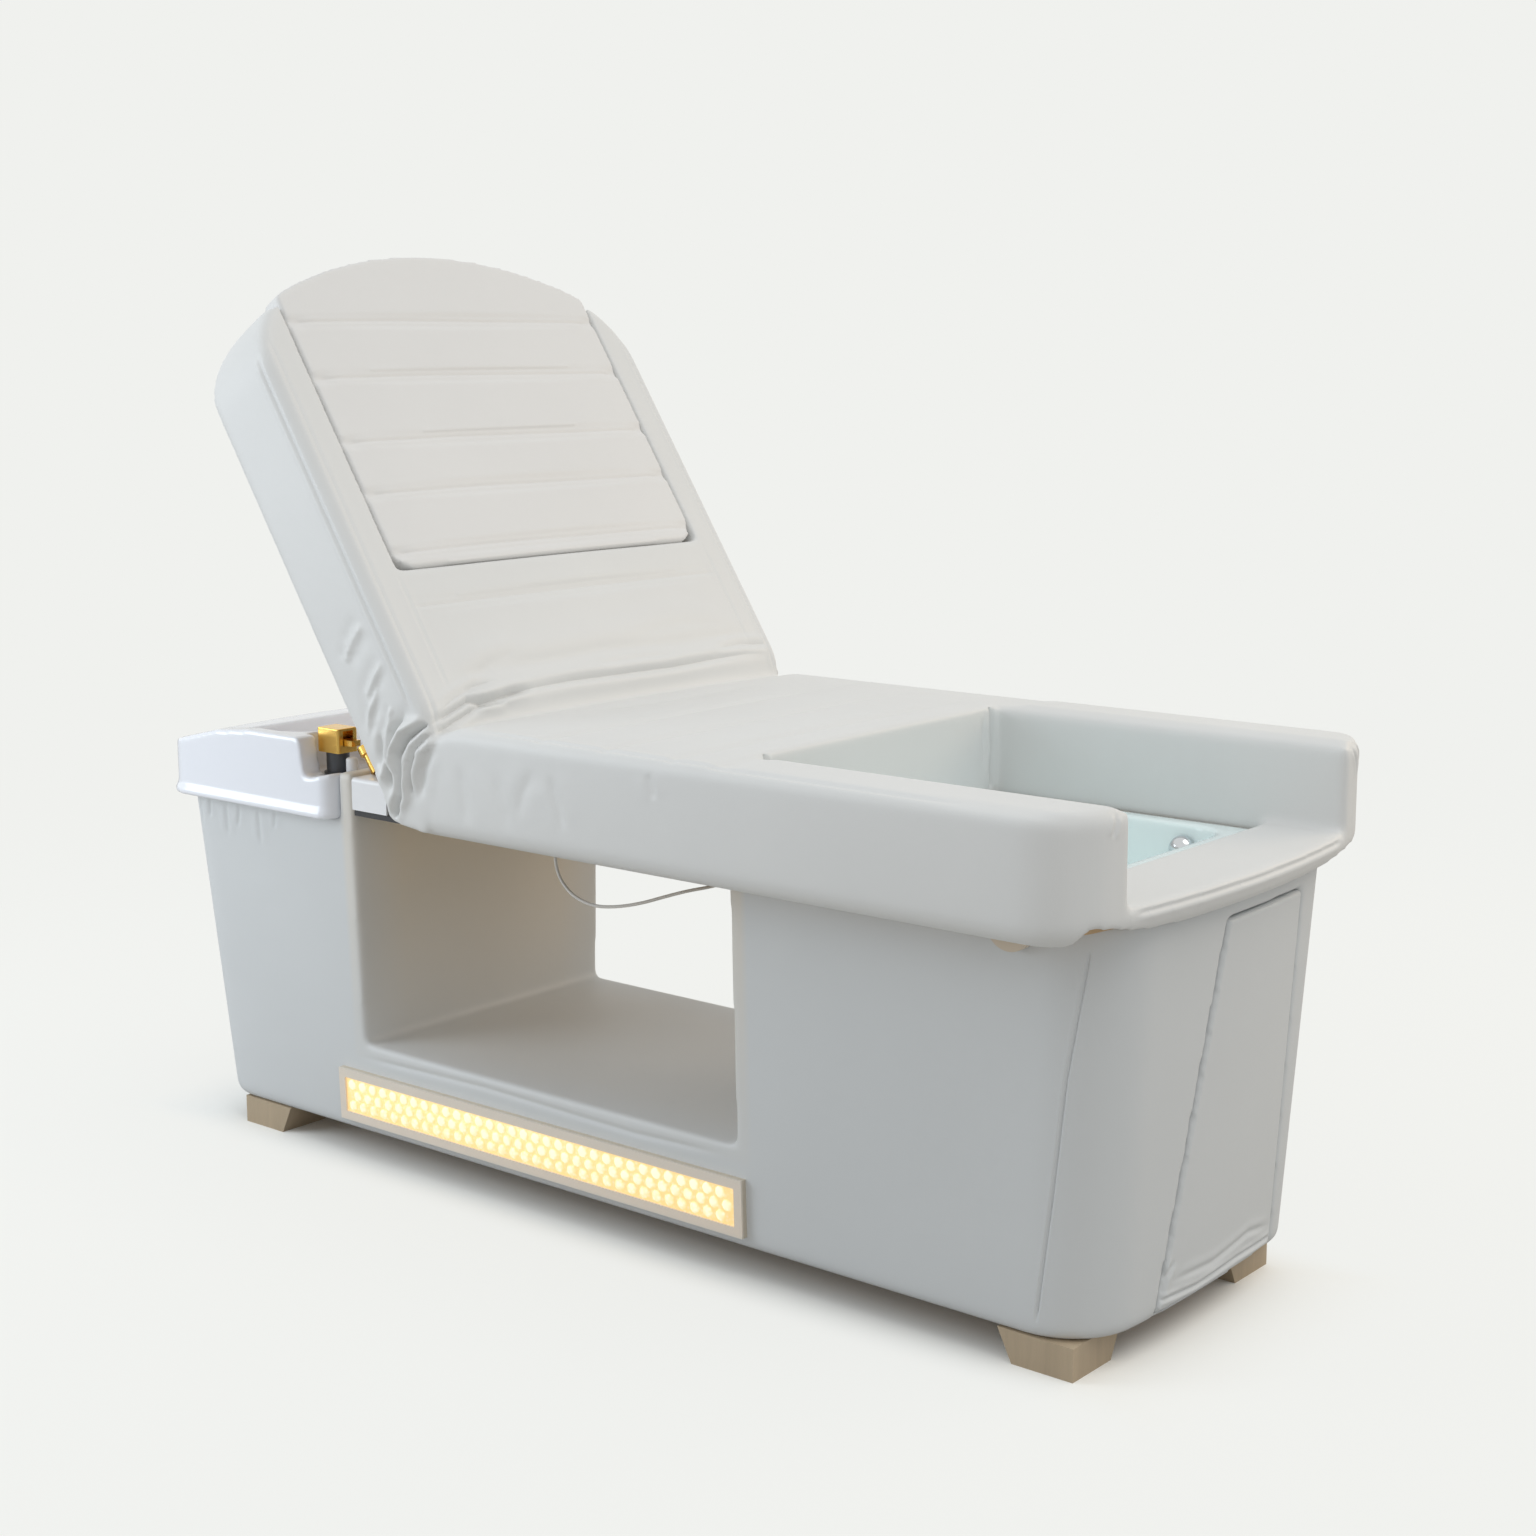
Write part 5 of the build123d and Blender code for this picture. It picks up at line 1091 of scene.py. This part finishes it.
BACK_FOLDS: tuple[Fold, ...] = (
    Fold(((72, -389), (82, -355), (97, -309), (93, -279), (99, -215), (101, -170)), 11, 4.5, 4, 0.22, True),
    Fold(((95, -290), (100, -200), (103, -100), (101, 10), (99, 130), (101, 222), (101, 314), (95, 382)),
         6.8, 5.5, 2.2, 0.3, True),
    Fold(((125, -353), (137, -275), (140, -192), (140, -110), (144, -6), (138, 137), (139, 246), (132, 335),
          (134, 390)),
         4, 13, 1.6, 0.2),
    Fold(((58, -384), (73, -339), (90, -280), (88, -230)), 8, 4.5, 3, 0.15, True),
    Fold(((86, -372), (104, -330), (118, -285), (122, -235)), 5, 5, 2, 0.25, True),
    Fold(((112, -300), (150, -240), (165, -160)), 1.6, 10, 1, 0.3),
    Fold(((120, -60), (121, 60), (116, 170)), 1.8, 6, 0.8, 0.35),
    Fold(((118, 240), (120, 310), (112, 385)), 3.5, 5, 2, 0.25, True),
    Fold(((160, 50), (168, 200), (158, 330)), 1.8, 12, 1, 0.3),
    Fold(((253, -338), (253, 338)), -2.6, 10, 0, 0.05),
    Fold(((253, -338), (254, 0), (253, 338)), 1, 2.5, 0.6, 0.05, True),
    Fold(((50, -376), (720, -376)), 1.4, 3, 0.8, 0.06, True),
    Fold(((50, 376), (720, 376)), 2.2, 3, 1.4, 0.06, True),
    Fold(((110, -334), (320, -334)), 1, 3, 0.4, 0.2),
    Fold(((110, 334), (320, 334)), 1, 3, 0.4, 0.2),
)

SEAT_FOLDS: tuple[Fold, ...] = (
    Fold(((-135, -380), (-128, -250), (-132, 0), (-128, 250), (-135, 380)), 2.8, 9, 1, 0.2),
    Fold(((-85, -200), (-60, 20), (-70, 250)), 1.6, 14, 0.8, 0.3),
    Fold(((-100, -372), (300, -374), (750, -374)), 1.4, 3, 1, 0.1),
)

RECESS_FOLDS: tuple[Fold, ...] = (
    Fold(((264, 622), (265, 690), (262, 748)), 6, 3.5, 2, 0.05, True),
    Fold(((-264, 622), (-265, 690), (-262, 748)), 6, 3.5, 2, 0.05, True),
    Fold(((246, 655), (240, 735)), 1.6, 5, 1, 0.3),
)

ARM_END_FOLDS: tuple[Fold, ...] = (
    Fold(((300, 742), (316, 716), (320, 690)), 1.4, 3, 1.2, 0.3),
    Fold(((322, 744), (336, 722), (340, 700)), 1.4, 3, 1.2, 0.3),
    Fold(((346, 738), (354, 714)), 1.2, 3, 1, 0.3),
    Fold(((-300, 742), (-312, 712)), 1.2, 3, 1, 0.3),
    Fold(((-270, 616), (0, 616), (270, 616)), 1.6, 3, 1.2, 0.05),
)

CABINET_SEAMS: tuple[Fold, ...] = (
    Fold(((779, 65), (802, 236), (821, 395), (842, 519), (849, 564)), 3.5, 1.6, 0.8, 0.04, True),
    Fold(((-850, 552), (-846, 500)), 1.4, 4, 1.2, 0.35),
    Fold(((-820, 552), (-824, 512)), 1.6, 4, 1.2, 0.35),
    Fold(((-782, 552), (-778, 486)), 1.8, 5, 1.2, 0.35),
    Fold(((-745, 552), (-752, 505)), 1.4, 4, 1.2, 0.35),
    Fold(((-700, 552), (-696, 480)), 1.6, 5, 1.2, 0.35),
    Fold(((-655, 552), (-660, 514)), 1.2, 4, 1, 0.35),
    Fold(((-500, 172), (-200, 178), (100, 172), (288, 178)), 1.2, 4, 0.8, 0.15),
)

PANEL_HEM: tuple[Fold, ...] = (
    Fold(((-112, 72), (-20, 66), (90, 70), (198, 66)), 2.6, 2.5, 1.6, 0.05, True),
    Fold(((-90, 92), (20, 86), (120, 96), (198, 84)), 1.4, 4, 1.2, 0.2),
    Fold(((-108, 66), (-98, 100), (-78, 122)), 2, 4, 1.4, 0.25),
)


@dataclass
class Upholstery:
    """The padded cover of seat, arms, ledge and back, and the lift-out insert."""

    voxel: float = 0.005
    insert_voxel: float = 0.004
    overlap: float = 0.0006
    valley: float = 0.014
    slab: float = 0.034
    proud: float = 0.0024
    crown: float = 0.004
    seat_puff: float = 0.0012
    insert_puff: float = 0.0011
    insert_fill: float = 0.0042
    insert_lines: tuple[float, ...] = (0.341, 0.440, 0.528, 0.638, 0.737)
    seat_lines: tuple[float, ...] = (0.040, 0.160, 0.280)
    corner: tuple[Pair, ...] = (
        (-0.262, 0.634), (-0.262, 0.606), (-0.248, 0.597), (-0.218, 0.592), (-0.180, 0.588), (-0.180, 0.640),
    )
    corner_sides: Pair = (0.352, 0.388)
    facing_side: Pair = (0.5, 0.9)
    facing_up: Pair = (0.6, 0.95)
    facing_out: Pair = (0.5, 0.95)
    side_from: float = 0.33
    seat_middle: Pair = (0.668, 0.085)
    seat_end: float = 0.07
    back_middle: Pair = (0.045, 0.08)
    back_start: float = 0.05
    top_from: float = 0.72
    arm_limits: tuple[Pair, Pair, Pair] = ((0.285, 0.30), (0.378, 0.358), (0.36, 0.40))
    seat_limits: tuple[Pair, Pair, Pair] = ((0.36, 0.31), (0.335, 0.305), (-0.10, 0.0))
    seat_line_width: float = 0.016
    crease_width: float = 0.020
    crease_height: Pair = (0.085, 0.12)
    insert_line_width: float = 0.017
    insert_limit: Pair = (0.322, 0.272)
    fill_width: float = 0.011
    fill_limit: Pair = (0.32, 0.29)
    nodes: tuple[str, ...] = (
        "seat_cushion", "near_arm_cushion", "far_arm_cushion", "foot_ledge_cushion", "back_cushion", "near_bolster",
        "far_bolster",
    )

    def build(self) -> None:
        """Make the two covers."""
        self.main_cover()
        self.insert()

    def corner_filler(self, side: float) -> Form:
        """The fabric that wraps below the hinge on one side.

        Args:
            side: Minus one for the near side and one for the far side.

        Returns:
            The filler's points and faces.
        """
        points = np.array([(x, side * y, z) for y in self.corner_sides for x, z in self.corner])
        count = len(self.corner)
        faces = [tuple(range(count)), tuple(reversed(range(count, 2 * count)))]
        faces += [(i, i + count, (i + 1) % count + count, (i + 1) % count) for i in range(count)]
        return points, [face[::-1] for face in faces] if side < 0 else faces

    def main_cover(self) -> None:
        """One cover over seat, arms, back and bolsters, folded at the hinge."""
        fillers = self.corner_filler(-1.0), self.corner_filler(1.0)
        skin = Skin("padded_cover", self.nodes, self.voxel, self.overlap, fillers)
        skin.relax(5)
        self.puff(skin)
        self.sink_crease(skin)
        skin.fold({
            Patch.BACK_FACE: BACK_FOLDS, Patch.SEAT_TOP: SEAT_FOLDS, Patch.NEAR_SIDE: NEAR_FOLDS,
            Patch.FAR_SIDE: NEAR_FOLDS, Patch.NEAR_BOLSTER: BOLSTER_FOLDS, Patch.FAR_BOLSTER: BOLSTER_FOLDS,
            Patch.RECESS_END: RECESS_FOLDS, Patch.FOOT_END: ARM_END_FOLDS,
        }, 0.016, 0.009)
        skin.relax(1, 0.35)
        cover = skin.finish(PAD_LEATHER)
        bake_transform(cover)

    def puff(self, skin: Skin) -> None:
        """Stand the leather a little proud, most in the middle of each panel.

        Args:
            skin: The cover's skin.
        """
        normals = skin.normals()
        along, out = measured(skin.points, Way.ALONG), measured(skin.points, Way.OUT)
        on_seat = ((skin.points - PIVOT) @ UPWARD < 0.0) | (along <= 0.0)
        x, y, z = skin.points.T
        sides = ease(np.abs(normals[:, 1]), *self.facing_side) * (np.abs(y) > self.side_from)
        seat_side = sides * mound(z, *self.seat_middle) * (along < self.seat_end)
        back_side = sides * mound(out, *self.back_middle) * (along > self.back_start)
        skin.push(normals, self.proud * (seat_side + back_side))
        inner, outer, head = self.arm_limits
        arm = ease(np.abs(y), *inner) * ease(np.abs(y), *outer) * ease(x, *head)
        top = ease(normals[:, 2], *self.facing_up) * (z > self.top_from) * on_seat
        skin.push(UP, self.crown * arm * top)
        edge, foot, head = self.seat_limits
        inside = ease(np.abs(y), *edge) * ease(x, *foot) * ease(x, *head)
        skin.push(UP, self.seat_puff * tufts(x, self.seat_lines, self.seat_line_width) * inside * top)

    def sink_crease(self, skin: Skin) -> None:
        """Draw the fabric down where seat and back meet.

        Args:
            skin: The cover's skin.
        """
        away = skin.points - PIVOT
        close = bell(away @ ACROSS, 0.0, self.crease_width) * ease(away @ UPWARD, *self.crease_height)
        skin.push(UPWARD, -self.valley * close)

    def insert(self) -> None:
        """The lift-out cushion with its sewn channels."""
        skin = Skin("insert_cover", ("insert_cushion",), self.insert_voxel)
        skin.relax(4)
        along, sideways = measured(skin.points, Way.ALONG), np.abs(skin.points[:, 1])
        face = ease(skin.normals() @ OUTWARD, *self.facing_out) * ease(sideways, *self.insert_limit)
        skin.push(OUTWARD, self.insert_puff * tufts(along, self.insert_lines, self.insert_line_width) * face)
        for line in self.insert_lines:
            filled = bell(along, line, self.fill_width) * ease(sideways, *self.fill_limit)
            skin.push(OUTWARD, self.insert_fill * filled * face)
        skin.fold({Patch.BACK_FACE: tuple(
            Fold(((line, -318), (line + 2, -100), (line, 120), (line - 1, 318)), 1.2, 2.2, 0.7, 0.03, True)
            for line in (line / MM for line in self.insert_lines)
        )}, 0.009)
        skin.finish(INSERT_LEATHER_PAINTED_LIGHTER, Body.INSERT)


# ---------------------------------------------------------------- cabinet, basins and fittings


@dataclass
class Cabinet:
    """The upholstered base, its service panel and its legs."""

    voxel: float = 0.0045
    overlap: float = 0.0006
    panel_voxel: float = 0.0035
    panel_puff: float = 0.0015
    nodes: tuple[str, ...] = (
        "head_cabinet", "foot_cabinet", "cubby_head_wall", "cubby_foot_wall", "cubby_shelf", "near_sill", "far_sill",
    )

    def build(self) -> None:
        """Make the walls' one skin and the padded panel in the foot end, and dress the legs."""
        skin = Skin("cabinet_cover", self.nodes, self.voxel, self.overlap)
        skin.relax(9)
        skin.fold({Patch.NEAR_SIDE: CABINET_SEAMS, Patch.FAR_SIDE: CABINET_SEAMS}, 0.010, 0.005)
        skin.finish(BASE_LEATHER, Body.BASE)
        panel = Skin("panel_cover", ("service_panel",), self.panel_voxel)
        panel.relax(3)
        panel.push(FOOTWARD, self.panel_puff * ease(panel.normals()[:, 0], 0.6, 0.95))
        panel.fold({Patch.FOOT_END: PANEL_HEM}, 0.010)
        panel.finish(BASE_LEATHER, Body.DOOR)
        dress(LEG_WOOD, "leg_near_head", "leg_far_head", "leg_near_foot", "leg_far_foot")
        dress(PLYWOOD, "bottom_board")


@dataclass
class Basins:
    """The shampoo basin, the foot bath, their wastes and the bridge for the neck."""

    voxel: float = 0.004

    def build(self) -> None:
        """Make the two glazed skins with eased edges and dress the fittings."""
        for node, times, look in (("head_basin", 5, CERAMIC), ("foot_basin", 3, ACRYLIC)):
            skin = Skin(node + "_glaze", (node,), self.voxel)
            skin.relax(times)
            skin.finish(look, Body.BASE)
        dress(CHROME, "head_drain_cup", "foot_drain_cup", "head_drain_plug", "foot_drain_plug", "foot_basin_inlet")
        dress(GREY_PLASTIC, "head_drain_trap", "foot_waste_pipe")
        dress(WHITE_PLASTIC, "neck_bridge")


@dataclass
class Hardware:
    """The frame, hinge, drive, tap, light panel and small fittings."""

    looks: tuple[tuple[Finish, tuple[str, ...]], ...] = (
        (PLYWOOD, ("seat_deck", "foot_deck", "back_board", "back_side_boards", "insert_board")),
        (TAB_LEATHER, ("pad_tabs",)),
        (FRAME_STEEL, ("seat_frame_tubes", "hinge_brackets", "back_hinge_arms", "back_tubes", "drive_arms",
                       "actuator_saddle")),
        (PIN_STEEL, ("hinge_pins", "actuator_rod", "actuator_rear_mount")),
        (GOLD, ("mixer_cap", "mixer_lever", "spray_handset")),
        (GUNMETAL, ("mixer_body", "spray_holder")),
        (WHITE_PLASTIC, ("diverter_knob",)),
        (ALUMINIUM, ("led_housing",)),
        (BEZEL, ("led_bezel",)),
        (STRIP, ("led_strips",)),
        (GREY_PLASTIC, ("actuator_housing", "control_box", "panel_catches")),
    )

    def build(self) -> None:
        """Dress every fitting."""
        for look, nodes in self.looks:
            dress(look, *nodes)
            log.info("%s: %s", look.name, ", ".join(nodes))


@dataclass
class LightPanel:
    """The lit beads in staggered rows behind the frame of the light panel."""

    columns: int = 33
    rows: int = 3
    bead_radius: float = 0.0088
    bead_height: float = 0.0034
    segments: int = 12
    rings: int = 4
    margin: float = 0.014
    plate: float = 0.004
    top_yz: Pair = (0.277, 0.627)
    bottom_yz: Pair = (0.258, 0.045)

    def build(self) -> None:
        """Make the sheet and its beads, which stand where the CAD diffuser is."""
        slope = (self.top_yz[0] - self.bottom_yz[0]) / (self.top_yz[1] - self.bottom_yz[1])
        out = np.array([0.0, -1.0, -slope]) / math.hypot(1.0, slope)
        up = np.array([0.0, -slope, 1.0]) / math.hypot(1.0, slope)
        axes = np.stack([FOOTWARD, up, out])
        local = rows(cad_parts["led_diffuser"].data.vertices, "co", 3) @ axes.T
        (left, low, rear), (right, high, _) = local.min(0), local.max(0)
        front = rear + self.plate
        outline = ((left, low), (right, low), (right, high), (left, high))
        sheet = np.array([(x, z, depth) for depth in (rear, front) for x, z in outline])
        sides = [(3, 2, 1, 0), (4, 5, 6, 7), (0, 1, 5, 4), (1, 2, 6, 5), (2, 3, 7, 6), (3, 0, 4, 7)]
        pitch = (right - left - 2 * self.margin) / (self.columns + 0.5)
        lift = (high - low - 2 * self.margin) / self.rows
        bead, faces = self.bead()
        left, low = left + self.margin, low + self.margin
        feet = [
            (left + (column + 0.5 + 0.5 * (row % 2)) * pitch, low + (row + 0.5) * lift, front)
            for row in range(self.rows) for column in range(self.columns)
        ]
        mesh = joined_mesh("light_beads", [(sheet @ axes, sides), *(((foot + bead) @ axes, faces) for foot in feet)])
        heights = [0.0] * len(sheet) + (bead[:, 2] / self.bead_height).tolist() * len(feet)
        mesh.attributes.new("bead_height", "FLOAT", "POINT").data.foreach_set("value", heights)
        mesh.materials.append(BEADS.material())
        beads = new_object("light_beads", mesh)
        mesh.shade_smooth()
        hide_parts("led_diffuser")
        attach(beads, Body.BASE.value)
        log.info("light panel: %d beads", len(feet))

    def bead(self) -> Form:
        """One bead on its foot: rings of points that close at the top.

        Returns:
            The bead's points, as along, up and out, and its faces.
        """
        points: list[Point] = []
        for ring in range(self.rings):
            rise = ring / self.rings * math.pi / 2
            radius = self.bead_radius * math.cos(rise)
            for step in range(self.segments):
                turn = 2 * math.pi * step / self.segments
                points.append((radius * math.cos(turn), radius * math.sin(turn), self.bead_height * math.sin(rise)))
        top = len(points)
        points.append((0.0, 0.0, self.bead_height))
        pairs = [(step, (step + 1) % self.segments) for step in range(self.segments)]
        faces: list[Face] = []
        for start in range(0, top - self.segments, self.segments):
            after = start + self.segments
            faces += [(start + step, start + following, after + following, after + step) for step, following in pairs]
        last = top - self.segments
        return np.array(points), faces + [(last + step, last + following, top) for step, following in pairs]


@dataclass
class LoopCable:
    """The drive's lead, which hangs between the control box and the motor."""

    thickness: float = 0.005
    length: float = 0.374
    route: tuple[Point, ...] = (
        (-0.159, -0.150, 0.552), (-0.159, -0.150, 0.520), (-0.152, -0.149, 0.488), (-0.126, -0.147, 0.463),
        (-0.088, -0.143, 0.452), (-0.046, -0.138, 0.456), (-0.004, -0.128, 0.466), (0.034, -0.113, 0.480),
        (0.064, -0.099, 0.490), (0.085, -0.080, 0.4945), (0.093, -0.058, 0.497), (0.093, -0.038, 0.497),
    )

    def build(self) -> None:
        """Lay the lead on its route as one smooth curve."""
        curve = bpy.data.curves.new("drive_lead", "CURVE")
        curve.dimensions = "3D"
        line = curve.splines.new("NURBS")
        line.points.add(len(self.route) - 1)
        for point, place in zip(line.points, self.route):
            point.co = (*place, 1.0)
        line.order_u = 3
        line.use_endpoint_u = True
        line.resolution_u = 12
        curve.bevel_depth = self.thickness / 2
        curve.bevel_resolution = 4
        lead = new_object("drive_lead", curve)
        curve.materials.append(LEAD.material())
        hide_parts("loop_cable")
        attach(lead, Body.BASE.value)
        log.info("drive lead laid")


def main() -> None:
    """Build the studio and the bed, piece by piece."""
    logging.basicConfig(level=logging.INFO, format="%(message)s")
    for part in (Studio(), LoopCable(), Cabinet(), Basins(), Upholstery(), LightPanel(), Hardware()):
        part.build()


if __name__ == "__main__":
    main()
